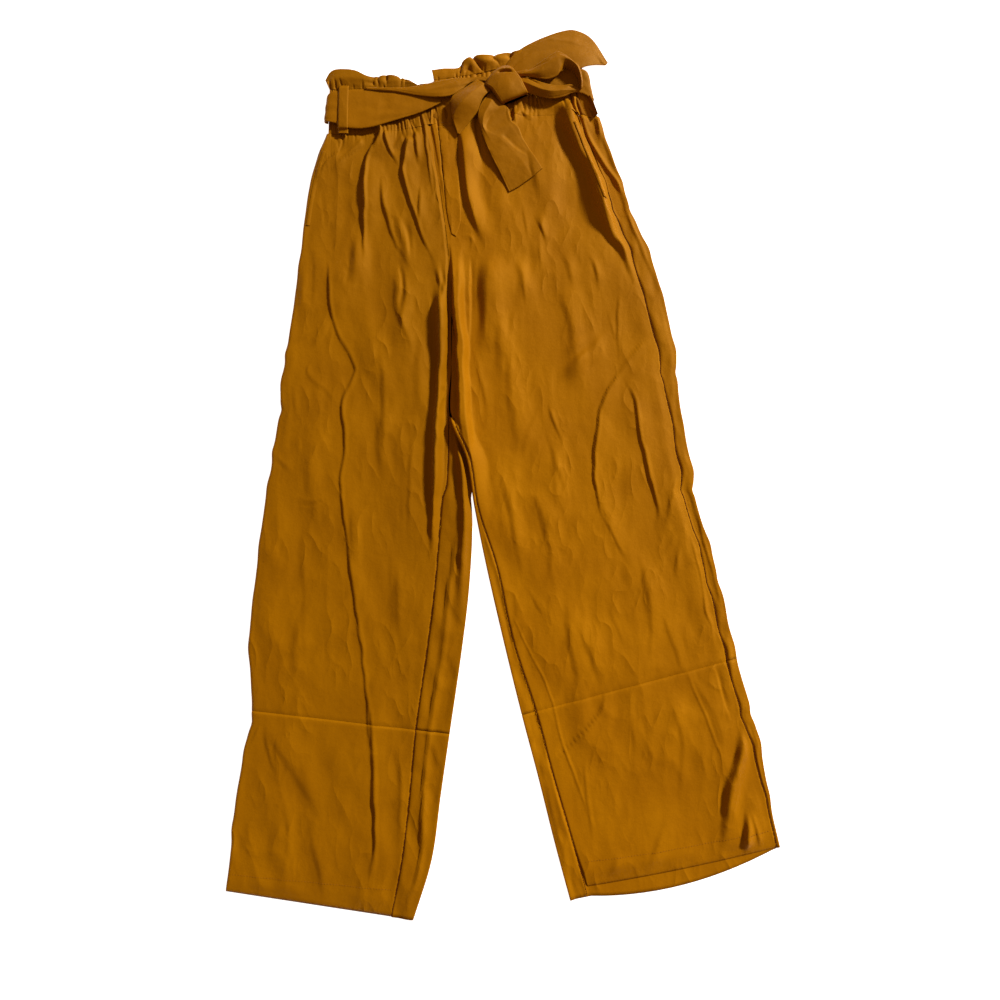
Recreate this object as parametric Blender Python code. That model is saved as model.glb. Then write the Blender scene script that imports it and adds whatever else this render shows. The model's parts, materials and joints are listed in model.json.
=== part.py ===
"""Paperbag waist trousers, lying flat on their back with the front up.

The tables are in millimetres, x to the wearer's left, y towards the waist, z up from the surface.
Each cloth piece is a wall between an upper and a lower grid of points. Objects are in metres.
"""

import math

import bpy
import numpy as np

MM = 0.001
WALL = 1.2            # leg, casing and ruffle cloth
SASH_WALL = 1.4       # the sash is sewn double
LOOP_WALL = 1.0
GAP = 0.3             # between neighbouring pieces
LEG_HEIGHT = 3.0      # top of the front cloth where nothing lifts it
WAIST_HEIGHT = 5.4    # the same at the casing's seam
WAIST_RISE = (400, 490)          # the y range over which the front cloth climbs
EDGE_RADIUS = 1.5     # the turn of the back panel round a leg's edge
LEAST_TURN = 0.8      # flat cloth beyond that turn, at the least
CASING_LEVEL = 5.8    # underside of the front casing
BACK_LEVEL = 3.0      # underside of the back casing, over the sash
CREST_SHARE = 0.5     # a fold's crest lies this share of its steep side beyond its line
LEVEL_PITCH = 30      # between a leg's cross-sections
PANEL_COLUMNS = 13    # points across a front panel
SEAM_FADE = 14        # folds die out over this distance from a seam or edge
CENTRE_X = 4.5        # the middle of the whole outline, in the tables' own frame
CENTRE_Y = 62.845

# Legs: a row for each level. The outer and inner points are the leg's two edges, the side and
# inseam insets are how far the back cloth comes round each edge to its seam.
LEG_COLUMNS = ("outer_x", "outer_y", "inner_x", "inner_y", "side_inset", "inseam_inset")
RIGHT_LEG = (
    (-225, 476, -90, 489, 0, 0),       # casing seam
    (-246, 400, -77, 402, 0, 0),
    (-256, 290, -63.5, 292, 0, 0),
    (-269, 180, -61, 182, 0, 0),
    (-276, 100, -62, 104, 0, 5),       # crotch
    (-283, 40, -43.3, 40, 0, 26),
    (-291, -20, -34.5, -22, 0, 39),
    (-298, -95, -37, -103, 0, 42),
    (-303, -172, -46, -183, 0, 42),    # knee
    (-298, -254, -60, -281, 0, 41),    # shin seam
    (-311, -345, -70, -352, 0, 37),
    (-317, -415, -80, -425, 0, 35),
    (-321, -461, -101, -493, 0, 26),   # hem
)
LEFT_LEG = (
    (129, 498, -90, 489, 27, 0),
    (160, 398, -77, 402, 22, 0),
    (199, 288, -63.5, 292, 25, 0),
    (219, 190, -61, 182, 22, 0),
    (226, 104, -62, 104, 14, 4),
    (236, 50, -44, 50, 16, 5),
    (243, -8, -31, -12, 14, 5),
    (256, -54, -16, -85, 14, 13),
    (271, -115, 5, -175, 14, 12),
    (285, -192, 26, -259, 13, 18),
    (306, -272, 45, -330, 12, 18),
    (320, -360, 64, -405, 5, 21),
    (330, -411, 82, -471, 4, 21),
)
CROTCH_ROW = 4
SHIN_ROW = 9
HEM_ROW = 12
TOP_BOW = {"right": -5, "left": 7}         # how far the casing seam arches up
HEM_BOW = {"right": 0, "left": -15}        # how far the back hem hangs below a straight line
FRONT_HEM_LIFT = {"right": 0, "left": 10}  # the front hem stops short at the inseam

# Folds of the front: the line of each fold's steep side from the waist down, its height,
# and the widths of its steep side (towards the wearer's right) and of its soft side.
FOLDS = (
    ("hip_outer", ((-166, 476), (-175, 445), (-176, 357), (-174, 305)), 5.0, 12, 20),
    ("hip_middle", ((-146, 482), (-146, 460), (-134, 440), (-132, 395)), 3.0, 10, 14),
    ("hip_inner", ((-121, 468), (-125, 432), (-119, 390), (-101, 335), (-80, 285)), 5.0, 12, 18),
    ("front_crease", ((-218, 293), (-212, 230), (-185, 173), (-197, 122), (-195, 20), (-178, -116),
                      (-158, -263), (-151, -342), (-154, -446)), 5.0, 14, 26),
    ("centre_right", ((-87, 268), (-87, 150), (-92, 74), (-88, -5), (-86, -70)), 6.0, 14, 14),
    ("centre_left", ((-55, 474), (-50, 420), (-43, 370), (-28, 322)), 7.0, 12, 22),
    ("fly_end", ((-40, 320), (-36, 260), (-37, 211), (-47, 165)), 5.0, 12, 16),
    ("diagonal", ((78, 488), (90, 455), (108, 410), (132, 334), (168, 262)), 9.0, 18, 24),
    ("thigh_arc", ((157, 171), (138, 144), (123, 107), (117, 43), (123, -20)), 4.0, 12, 20),
    ("outer_thigh", ((154, 150), (167, 125), (176, 67), (190, 5), (187, -42)), 5.0, 12, 20),
    ("below_knee", ((123, -238), (118, -258), (85, -290), (55, -318)), 4.0, 12, 20),
    ("shin_side", ((276, -290), (270, -340), (257, -378), (254, -425)), 6.0, 14, 18),
)

# The waist: a row for each point along a line, from the wearer's right to left.
CASING_TOP = {
    "right": ((-221, 534), (-180, 534), (-140, 535), (-99, 538)),
    "left": ((-86, 548), (-30, 556), (26, 569), (70, 573), (104, 574)),
    "back": ((-220, 534), (-99, 538), (-30, 556), (26, 569), (104, 574)),
}
RUFFLE_TOP = {
    "right": ((-227, 547), (-220, 557), (-209, 560), (-188, 558), (-169, 551), (-143, 553),
              (-122, 548), (-109, 541)),
    "left": ((-89, 562), (-72, 564), (-55, 565), (-48, 573), (-34, 579), (-17, 579), (1, 582),
             (22, 586), (60, 590), (108, 588)),
    "back": ((-222, 551), (-190, 552), (-150, 548), (-102, 545), (-60, 558), (0, 577), (60, 583),
             (104, 582)),
}
WAIST_PINCH = 3.5     # the sash pulls the casing's left end in by this
FRONT_GATHERS = 28    # in each front half
BACK_GATHERS = 44
FRONT_WAVES = 8       # ruffle waves in each front half
BACK_WAVES = 15

# Strips of the sash and bow. Each row is one cross-section: one edge's x, y and underside z,
# then the other edge's, in order along the strip.
SASH_BACK = (
    (-218.5, 529, 1.3, -220, 490, 1.3),
    (-150, 530, 1.3, -150, 491, 1.3),
    (-60, 546, 1.3, -60, 508, 1.3),
    (30, 562, 1.3, 30, 519, 1.3),
    (106, 563, 1.3, 114, 520, 1.3),
)
SASH_FRONT_RIGHT = (
    (-220.5, 523, 2.7, -222.5, 490, 2.7),
    (-222.7, 523, 4.2, -225.6, 490, 4.2),
    (-222.7, 525, 7.4, -225.6, 490, 7.4),
    (-218.5, 529, 8.9, -221, 489, 8.9),
    (-209, 531, 8.8, -209, 486, 8.8),
    (-193, 533, 8.8, -193, 480, 8.8),
    (-168, 533, 8.8, -168, 481, 8.8),
    (-135, 533, 8.8, -135, 491, 8.8),
    (-102, 530, 8.8, -102, 502, 8.8),
    (-76, 525, 8.8, -76, 515, 8.8),
)
SASH_FLAP_RIGHT = (
    (-174, 535, 10.5, -174, 532.5, 10.5),
    (-149, 534.5, 10.5, -149, 530, 10.5),
    (-127, 534.5, 10.6, -127, 527.5, 10.5),
    (-104, 536.5, 10.8, -102, 522.5, 10.6),
    (-84, 541, 10.8, -78, 519.5, 10.6),
    (-62, 545, 10.4, -60, 523, 10.2),
    (-44, 546.5, 9.8, -44, 534, 9.6),
    (-14, 547, 8.8, -18, 540, 8.8),
)
SASH_FRONT_LEFT = (
    (110.5, 556, 2.7, 118, 521, 2.7),
    (113.5, 555, 4.2, 120.3, 520, 4.2),
    (113.5, 556, 7.4, 120.6, 520, 7.4),
    (109, 560, 8.9, 117, 521, 8.9),
    (98, 563, 8.8, 104, 528, 8.8),
    (70, 563, 8.8, 72, 531, 8.8),
    (44, 558, 8.8, 46, 531, 8.8),
)
BOW_LOOP_LOW = (
    (-9, 533, 8.8, 0, 522, 8.8),
    (-38, 528, 9.6, -20, 517, 9.2),
    (-61, 519, 10.4, -27, 506, 9.2),
    (-64, 501, 10.2, -33, 494, 9.2),
    (-62, 485, 8.8, -43, 482, 8.6),
    (-54, 472, 7.2, -50, 473, 7.4),
)
BOW_LOOP_UPPER = (
    (23.2, 554.1, 12.6, 28.8, 546.4, 12.6),
    (50, 570, 14.6, 52, 547, 14.2),
    (74, 580, 16.0, 67, 547, 15.0),
    (87, 576, 16.4, 80, 558, 15.6),
    (100, 562, 15.2, 92, 559, 14.8),
    (105, 546, 13.8, 98, 545, 13.6),
    (105, 533, 13.4, 100, 532, 13.4),
)
BOW_LOOP_LOWER = (
    (29.7, 545.1, 10.8, 33.4, 537.5, 10.8),
    (53, 545, 11.8, 51, 523, 11.4),
    (80, 540, 12.0, 72, 521, 11.4),
    (96, 533, 11.8, 91, 523, 11.4),
    (103, 529, 11.4, 101, 526, 11.4),
)
TAIL_UP = (
    (4, 560, 8.8, 18, 550, 8.8),
    (20, 583, 9.7, 46, 573, 9.7),
    (50, 602, 9.0, 72, 581, 9.7),
    (84, 616.8, 7.0, 101, 569, 10.2),
    (101, 616.8, 5.4, 112, 568, 9.4),
    (118, 607, 3.4, 124, 570, 5.6),
    (138, 577, 1.6, 135, 573, 2.0),
)
TAIL_DOWN_EDGES = (
    (-9, 514, 10, 514),
    (-25, 502, 15, 508),
    (-25, 485, 20, 492),
    (-20, 464, 27, 474),
    (-12, 445, 35, 460),
    (-2, 424, 44, 444),
    (13, 395, 56, 425),
)
KNOT_OUTLINE = (
    (-5, 559), (6, 561), (17, 558), (24, 551), (31, 540), (34, 529), (32, 519), (23, 514), (13, 510),
    (5, 510), (0, 517), (-6, 526), (-13, 534), (-20, 541), (-14, 552),
)
KNOT_RINGS = ((1.0, 10.6), (1.03, 13.5), (1.0, 17.5), (0.88, 22.0), (0.6, 25.0), (0.25, 26.2))
KNOT_MIDDLE = (9, 536)

FLY_LAP = (                     # its edge on the centre front, and its free edge
    (-81, 486, -58, 486),
    (-77, 452, -57, 447),
    (-73, 412, -54, 402),
    (-69, 370, -50, 362),
    (-65, 336, -53, 333),
)
POCKET_MOUTHS = {               # the hand opening's edge in the side seam, waist end first
    "right": ((-229, 452), (-238, 420), (-244, 385), (-248, 352)),
    "left": ((104, 484), (120, 447), (134, 409), (142, 383)),
}
POCKET_MOUTH_WIDTH = 8
FRONT_LOOPS = (                 # middle x, foot y, head y, foot z, head z
    ("belt_loop_front_right", -202, 473, 538, 7.4, 8.8),
)
BACK_LOOPS = (("belt_loop_back_right", -150, 489, 530), ("belt_loop_back_left", 60, 514, 562))
LOOP_WIDTH = 13

REACH = {"tail_down": 4.5, "fly_lap": 3.6, "pocket_mouth_right": 4.0,
         "pocket_mouth_left": 1.2}    # a lying strip clears the cloth this far round its points
TOP_FACETS = []

CLOTH_COLOUR = (0.35, 0.12, 0.006, 1)
WRONG_SIDE_COLOUR = (0.28, 0.095, 0.006, 1)


def clear_scene():
    for thing in list(bpy.data.objects):
        bpy.data.objects.remove(thing)


def smooth(table, at):
    """Reads the table's rows at fractional row numbers along a curve through the rows."""
    rows = np.asarray(table, float)
    rows = np.vstack((2 * rows[0] - rows[1], rows, 2 * rows[-1] - rows[-2]))
    at = np.clip(np.asarray(at, float), 0, len(rows) - 3)
    low = np.minimum(at.astype(int), len(rows) - 4)
    f = (at - low)[..., None]
    before, start, end, after = (rows[low + k] for k in range(4))
    slope_in = (end - before) / 2
    slope_out = (after - start) / 2
    return (start * (2 * f**3 - 3 * f**2 + 1) + slope_in * (f**3 - 2 * f**2 + f)
            + end * (3 * f**2 - 2 * f**3) + slope_out * (f**3 - f**2))


def ease(value):
    """0 below 0, 1 above 1, and a soft step between."""
    value = np.clip(value, 0, 1)
    return value * value * (3 - 2 * value)


def rise(y):
    """Height of the front cloth's top without its folds."""
    low, high = WAIST_RISE
    return LEG_HEIGHT + (WAIST_HEIGHT - LEG_HEIGHT) * ease((np.asarray(y) - low) / (high - low))


def fold_height(x, y):
    """Sum of the folds at each point."""
    total = np.zeros_like(np.asarray(x, float))
    for _, line, height, steep, soft in FOLDS:
        line = smooth(line, np.linspace(0, len(line) - 1, 6 * len(line)))
        start, end = line[:-1], line[1:]
        run = end - start
        length = np.hypot(run[:, 0], run[:, 1])
        done = np.concatenate(([0], np.cumsum(length)))
        dx = x[..., None] - start[:, 0]
        dy = y[..., None] - start[:, 1]
        along = np.clip((dx * run[:, 0] + dy * run[:, 1]) / length**2, 0, 1)
        away = np.hypot(dx - along * run[:, 0], dy - along * run[:, 1])
        near = np.argmin(away, axis=-1)[..., None]
        pick = lambda values: np.take_along_axis(values, near, axis=-1)[..., 0]
        side = pick((run[:, 0] * dy - run[:, 1] * dx) / length)
        distance = np.where(side < 0, -pick(away), pick(away)) - CREST_SHARE * steep
        place = pick(done[:-1] + along * length)
        taper = min(40, done[-1] / 3)
        ends = ease(np.minimum(place, done[-1] - place) / taper)
        across = np.where(distance < 0, 1 + distance / steep, 1 - distance / soft)
        total += height * ends * ease(across)
    return total


def material(name, colour):
    made = bpy.data.materials.new(name)
    made.use_nodes = True
    shader = made.node_tree.nodes["Principled BSDF"]
    shader.inputs["Base Color"].default_value = colour
    shader.inputs["Roughness"].default_value = 0.72
    shader.inputs["Metallic"].default_value = 0
    return made


def remember_top(upper):
    """Keeps the facets of a front piece, for what lies on it."""
    for i in range(upper.shape[0] - 1):
        for j in range(upper.shape[1] - 1):
            a, b, c, d = upper[i, j], upper[i + 1, j], upper[i + 1, j + 1], upper[i, j + 1]
            TOP_FACETS.extend(((a, b, c), (a, c, d), (a, b, d), (b, c, d)))


def wall(name, upper, lower, look, present=None):
    """A closed wall between two grids of points, without the cells that aren't present."""
    rows, columns = upper.shape[:2]
    if present is None:
        present = np.ones((rows - 1, columns - 1), bool)
    index = {}
    points = []

    def vertex(side, i, j):
        key = (side, i, j)
        if key not in index:
            index[key] = len(points)
            x, y, z = (upper if side else lower)[i, j]
            points.append(((x - CENTRE_X) * MM, (y - CENTRE_Y) * MM, z * MM))
        return index[key]

    faces = []
    border = {}
    for i in range(rows - 1):
        for j in range(columns - 1):
            if not present[i, j]:
                continue
            ring = ((i, j), (i + 1, j), (i + 1, j + 1), (i, j + 1))
            faces.append([vertex(1, *p) for p in ring])
            faces.append([vertex(0, *p) for p in reversed(ring)])
            for a, b in zip(ring, ring[1:] + ring[:1]):
                if (b, a) in border:
                    del border[(b, a)]
                else:
                    border[(a, b)] = True
    for a, b in border:
        faces.append([vertex(1, *b), vertex(1, *a), vertex(0, *a), vertex(0, *b)])
    mesh = bpy.data.meshes.new(name)
    mesh.from_pydata(points, [], faces)
    mesh.update()
    mesh.shade_smooth()
    mesh.set_sharp_from_angle(angle=math.radians(50))
    mesh.materials.append(look)
    thing = bpy.data.objects.new(name, mesh)
    bpy.context.scene.collection.objects.link(thing)
    return thing


def thickened(grid, thickness):
    """The grid moved along its own normals by the wall's thickness."""
    along = np.gradient(grid, axis=0)
    across = np.gradient(grid, axis=1)
    normal = np.cross(along, across)
    normal /= np.linalg.norm(normal, axis=-1, keepdims=True)
    return grid + normal * thickness


def leg_table(side):
    return RIGHT_LEG if side == "right" else LEFT_LEG


def level_rows(table, first, last):
    """Fractional row numbers from one row to another, about a pitch apart in y."""
    marks = []
    for row in range(first, last):
        drop = abs(table[row + 1][3] - table[row][3])
        count = max(1, round(drop / LEVEL_PITCH))
        marks += [row + k / count for k in range(count)]
    return np.array(marks + [last], float)


def leg_levels(side, first, last):
    """The leg's edges and insets at each level of the stretch."""
    table = leg_table(side)
    marks = level_rows(table, first, last)
    values = dict(zip(LEG_COLUMNS, smooth(table, marks).T))
    trim = np.where(marks == first, -GAP / 2, 0) + np.where(marks == last, GAP / 2, 0)
    values["outer_y"] = values["outer_y"] + trim
    values["inner_y"] = values["inner_y"] + trim
    values["width"] = np.hypot(values["inner_x"] - values["outer_x"],
                               values["inner_y"] - values["outer_y"])
    values["marks"] = marks
    return values


def leg_plane(values, across, top_bow, hem_bow):
    """Points on the leg's levels, at a distance in from the outer edge."""
    share = across / values["width"][:, None]
    x = values["outer_x"][:, None] + share * (values["inner_x"] - values["outer_x"])[:, None]
    y = values["outer_y"][:, None] + share * (values["inner_y"] - values["outer_y"])[:, None]
    between = values["width"] - values["side_inset"] - values["inseam_inset"]
    inside = np.clip((across - values["side_inset"][:, None]) / between[:, None], 0, 1)
    y = y + top_bow * ((1 - ease(values["marks"]))[:, None] * 4 * share * (1 - share))
    return x, y + hem_bow * (ease(values["marks"] - (HEM_ROW - 1))[:, None] * 4 * inside * (1 - inside))


def front_panel(side, part, first, last, look):
    """The front cloth between its two seams, with the folds in it."""
    values = leg_levels(side, first, last)
    marks = values["marks"]
    start = np.maximum(values["side_inset"], 0) + np.where(values["side_inset"] > 0.5, GAP, 0)
    end = values["width"] - np.maximum(values["inseam_inset"], 0) - GAP
    share = np.linspace(0, 1, PANEL_COLUMNS)[None, :]
    across = start[:, None] + share * (end - start)[:, None]
    x, y = leg_plane(values, across, TOP_BOW[side], 0)
    hem = ease(marks - (HEM_ROW - 1))[:, None]
    y = y + FRONT_HEM_LIFT[side] * hem * share**2
    top = rise(y)
    crotch = (marks > CROTCH_ROW - 0.5)[:, None]
    from_side = ease((across - start[:, None]) / SEAM_FADE)
    from_inseam = np.where(crotch, ease((end[:, None] - across) / SEAM_FADE), 1.0)
    top = top + fold_height(x, y) * from_side * from_inseam
    upper = np.stack((x, y, top), -1)
    lower = np.stack((x, y, top - WALL), -1)
    if side == "left":
        upper, lower = upper[:, ::-1], lower[:, ::-1]
    remember_top(upper)
    return wall(f"front_{side}_{part}", upper, lower, look)


def turned_edge(edge, inward, inset, height):
    """Outer and inner points (in from the edge, up) of cloth that turns round a leg's edge."""
    reach = np.maximum(inset, EDGE_RADIUS + LEAST_TURN)
    outer = [(reach, height)]
    inner = [(reach, height - WALL)]
    for degrees in (90, 135, 180, 225, 270):
        turn = math.radians(degrees)
        for line, cut in ((outer, 0), (inner, WALL)):
            q = np.full_like(height, EDGE_RADIUS + (EDGE_RADIUS - cut) * math.cos(turn))
            line.append((q, height / 2 + (height / 2 - cut) * math.sin(turn)))
    place = lambda line: [(edge + inward * q, z) for q, z in line]
    return place(outer), place(inner)


def back_panel(side, part, first, last, look):
    """The back cloth: flat on the surface, turned up round the leg's edges to the seams."""
    values = leg_levels(side, first, last)
    marks = values["marks"]
    width = values["width"]
    height = rise((values["outer_y"] + values["inner_y"]) / 2)
    flat = 0 * width
    crotch = marks >= CROTCH_ROW
    side_turns = side == "left"
    inner_outer, inner_inner = turned_edge(width, -1, values["inseam_inset"], height)
    if side_turns:
        outer, inner = turned_edge(flat, 1, values["side_inset"], height)
    else:
        outer, inner = [(flat, flat)], [(flat, flat + WALL)]
    for share in (0.2, 0.4, 0.6, 0.8):
        outer.append((width * share, flat))
        inner.append((width * share, flat + WALL))
    plain = len(outer)
    seam_end = np.where(crotch, inner_outer[-1][0], width - GAP)
    outer.append((seam_end, flat))
    inner.append((seam_end, flat + WALL))
    outer += list(reversed(inner_outer[:-1]))
    inner += list(reversed(inner_inner[:-1]))
    outer = np.array(outer).transpose(2, 0, 1)
    inner = np.array(inner).transpose(2, 0, 1)
    grids = []
    for profile in (inner, outer):
        x, y = leg_plane(values, profile[..., 0], TOP_BOW[side], HEM_BOW[side])
        grids.append(np.stack((x, y, profile[..., 1]), -1))
    upper, lower = grids
    present = np.ones((len(marks) - 1, outer.shape[1] - 1), bool)
    present[marks[:-1] < CROTCH_ROW, plain:] = False
    if side == "left":
        upper, lower, present = upper[:, ::-1], lower[:, ::-1], present[:, ::-1]
    return wall(f"back_{side}_{part}", upper, lower, look, present)


def line_points(table, count):
    """Evenly spaced points along a smooth line through the table's points."""
    fine = smooth(table, np.linspace(0, len(table) - 1, 20 * len(table)))
    steps = np.hypot(*np.diff(fine, axis=0).T)
    done = np.concatenate(([0], np.cumsum(steps)))
    at = np.linspace(0, done[-1], count)
    return np.column_stack([np.interp(at, done, column) for column in fine.T])


def casing_seam(side, count):
    """The line where the casing meets the leg, from the wearer's right to left."""
    if side == "back":
        right = casing_seam("right", count)[:, :2]
        left = casing_seam("left", count)[:, :2]
        both = np.vstack((right, left))
        spread = np.linspace(both[0, 0], both[-1, 0], count)
        return np.stack((spread, np.interp(spread, both[:, 0], both[:, 1])), -1)
    outer_x, outer_y, inner_x, inner_y = leg_table(side)[0][:4]
    share = np.linspace(0, 1, count)
    if side == "left":
        share = share[::-1]
    x = outer_x + share * (inner_x - outer_x)
    y = outer_y + share * (inner_y - outer_y) + TOP_BOW[side] * 4 * share * (1 - share)
    edge_trim = 3 if side == "right" else -3
    x = x + edge_trim * (1 - share)
    return np.stack((x, y), -1)


def gathered_band(name, lower_line, upper_line, levels, samples, look):
    """A band between two lines. Each level is (share up, underside z, wave height)."""
    count = len(lower_line)
    phase = np.arange(count) / samples
    column = np.linspace(0, 1, count) if lower_line[-1, 0] > 0 else np.zeros(count)
    wander = 0.5 + 0.5 * np.sin(0.9 * phase + 1.3) * np.cos(0.37 * phase)
    swell = (0.5 - 0.5 * np.cos(2 * math.pi * phase)) * (0.55 + 0.45 * wander)
    upper, lower = [], []
    for share, bottom, height in reversed(levels):
        xy = lower_line + share * (upper_line - lower_line)
        xy = xy - WAIST_PINCH * math.sin(math.pi * share) * (column**6)[:, None] * (1, 0)
        z = bottom + height * swell
        lower.append(np.column_stack((xy, z)))
        upper.append(np.column_stack((xy, z + WALL)))
    upper = np.array(upper)
    lower = np.array(lower)
    if name.startswith("casing_front"):
        remember_top(upper)
    return wall(name, upper, lower, look)


def waist(look, wrong_side):
    """Casing and ruffle of each front half and of the back."""
    for side, gathers, waves in (("right", FRONT_GATHERS, FRONT_WAVES),
                                 ("left", FRONT_GATHERS, FRONT_WAVES),
                                 ("back", BACK_GATHERS, BACK_WAVES)):
        front = side != "back"
        title = f"front_{side}" if front else "back"
        columns = 2 * gathers + 1
        seam = casing_seam(side, columns) + (0, GAP)
        top = line_points(CASING_TOP[side], columns)
        if front:
            levels = ((0, 4.3, 1.3), (0.16, 4.9, 1.4), (0.4, CASING_LEVEL, 1.3),
                      (1, CASING_LEVEL, 1.0))
        else:
            levels = ((0, 0, 0), (0.05, 0, 0), (0.16, BACK_LEVEL, 0.8), (1, BACK_LEVEL, 0.8))
        shade = look if front else wrong_side
        gathered_band(f"casing_{title}", seam, top, levels, 2, shade)
        columns = 4 * waves + 1
        foot = line_points(CASING_TOP[side], columns) + (0, GAP)
        head = line_points(RUFFLE_TOP[side], columns)
        if front:
            levels = ((0, CASING_LEVEL, 0.8), (0.45, CASING_LEVEL, 1.8), (1, 5.2, 3.0))
        else:
            levels = ((0, BACK_LEVEL, 0.6), (0.5, 1.6, 1.2), (1, 0.4, 2.0))
        gathered_band(f"ruffle_{title}", foot, head, levels, 4, shade)


def strip(name, rows, thickness, look, along, across, crown=0.0):
    """A ribbon between its two edges, bowed up by the crown in its middle."""
    rows = np.asarray(rows, float)
    marks = smooth(rows, np.linspace(0, len(rows) - 1, along))
    share = np.linspace(0, 1, across)[None, :, None]
    grid = marks[:, None, :3] * (1 - share) + marks[:, None, 3:] * share
    run = np.linspace(0, 1, along)[:, None]
    grid[..., 2] += crown * np.sin(math.pi * share[..., 0]) * ease(4 * run) * ease(4 - 4 * run)
    raised = thickened(grid, thickness)
    if (raised - grid)[..., 2].sum() < 0:
        raised = 2 * grid - raised
        grid, raised = grid[:, ::-1], raised[:, ::-1]
    return wall(name, raised, grid, look)


def resting_height(x, y, reach):
    """Highest facet of the front cloth within reach of each point."""
    facets = np.array(TOP_FACETS)
    corner, side_a, side_b = facets[:, 0], facets[:, 1] - facets[:, 0], facets[:, 2] - facets[:, 0]
    area = side_a[:, 0] * side_b[:, 1] - side_a[:, 1] * side_b[:, 0]
    highest = np.zeros(x.shape)
    turns = np.arange(8) * math.pi / 4
    offsets = [(0, 0)] + [(reach * math.cos(t), reach * math.sin(t)) for t in turns]
    for offset_x, offset_y in offsets:
        dx = (x + offset_x)[..., None] - corner[:, 0]
        dy = (y + offset_y)[..., None] - corner[:, 1]
        share_a = (dx * side_b[:, 1] - dy * side_b[:, 0]) / area
        share_b = (dy * side_a[:, 0] - dx * side_a[:, 1]) / area
        within = (share_a >= 0) & (share_b >= 0) & (share_a + share_b <= 1)
        z = corner[:, 2] + share_a * side_a[:, 2] + share_b * side_b[:, 2]
        highest = np.maximum(highest, np.where(within, z, 0).max(axis=-1))
    return highest


def lying_strip(name, edges, thickness, look, along, across):
    """A strip that follows the front cloth, moved out from it."""
    marks = smooth(edges, np.linspace(0, len(edges) - 1, along))
    share = np.linspace(0, 1, across)[None, :, None]
    plane = marks[:, None, :2] * (1 - share) + marks[:, None, 2:] * share
    x, y = plane[..., 0], plane[..., 1]
    under = resting_height(x, y, REACH[name]) + GAP
    lower = np.stack((x, y, under), -1)
    upper = np.stack((x, y, under + thickness), -1)
    return wall(name, upper, lower, look)


def knot(look):
    """The bow's knot: a rounded body over a smooth outline, wider than its foot at mid height."""
    outline = line_points(KNOT_OUTLINE + KNOT_OUTLINE[:1], 2 * len(KNOT_OUTLINE) + 1)[:-1]
    middle = np.array(KNOT_MIDDLE, float)
    points = []
    for scale, z in KNOT_RINGS:
        for x, y in middle + (outline - middle) * scale:
            points.append(((x - CENTRE_X) * MM, (y - CENTRE_Y) * MM, z * MM))
    count = len(outline)
    faces = [list(range(count - 1, -1, -1))]
    for ring in range(len(KNOT_RINGS) - 1):
        for k in range(count):
            a = ring * count + k
            b = ring * count + (k + 1) % count
            faces.append([a, b, b + count, a + count])
    faces.append(list(range((len(KNOT_RINGS) - 1) * count, len(KNOT_RINGS) * count)))
    mesh = bpy.data.meshes.new("knot")
    mesh.from_pydata(points, [], [face[::-1] for face in faces])
    mesh.update()
    mesh.shade_smooth()
    mesh.materials.append(look)
    bpy.context.scene.collection.objects.link(bpy.data.objects.new("knot", mesh))


def belt_loop(name, middle, foot, head, foot_z, head_z, top_z, look):
    """A narrow strip that climbs over the sash between its two sewn ends."""
    half = LOOP_WIDTH / 2
    rows = [(foot, foot_z), (foot + 3, foot_z), (foot + 8, top_z), (head - 6, top_z),
            (head, head_z)]
    upper = np.array([[(x, y, z + LOOP_WALL) for x in (middle - half, middle + half)]
                      for y, z in reversed(rows)])
    lower = upper - (0, 0, LOOP_WALL)
    return wall(name, upper, lower, look)


def sash(look):
    strip("sash_back", SASH_BACK, SASH_WALL, look, 10, 3)
    strip("sash_front_right", SASH_FRONT_RIGHT, SASH_WALL, look, 22, 4)
    strip("sash_flap_right", SASH_FLAP_RIGHT, SASH_WALL, look, 12, 4)
    strip("sash_front_left", SASH_FRONT_LEFT, SASH_WALL, look, 16, 4)
    strip("bow_loop_low", BOW_LOOP_LOW, SASH_WALL, look, 14, 5, crown=1.5)
    strip("bow_loop_upper_limb", BOW_LOOP_UPPER, SASH_WALL, look, 18, 5, crown=1.5)
    strip("bow_loop_lower_limb", BOW_LOOP_LOWER, SASH_WALL, look, 12, 5, crown=1.5)
    strip("tail_up", TAIL_UP, SASH_WALL, look, 18, 5, crown=1.0)
    lying_strip("tail_down", TAIL_DOWN_EDGES, SASH_WALL, look, 16, 6)
    knot(look)


def trimmings(look):
    lying_strip("fly_lap", FLY_LAP, WALL, look, 16, 4)
    for side, edge in POCKET_MOUTHS.items():
        rows = [(x, y, x + POCKET_MOUTH_WIDTH, y) for x, y in edge]
        if side == "left":
            rows = [(x - POCKET_MOUTH_WIDTH, y, x, y) for x, y in edge]
        lying_strip(f"pocket_mouth_{side}", rows, LOOP_WALL, look, 13, 3)
    for name, middle, foot, head, foot_z, head_z in FRONT_LOOPS:
        belt_loop(name, middle, foot, head, foot_z, head_z, 10.6, look)
    for name, middle, foot, head in BACK_LOOPS:
        half = LOOP_WIDTH / 2
        rows = [(middle - half, y, middle + half, y) for y in (head, foot)]
        upper = np.array([[(a, b, LOOP_WALL), (c, d, LOOP_WALL)] for a, b, c, d in rows])
        wall(name, upper, upper - (0, 0, LOOP_WALL), look)


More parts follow.
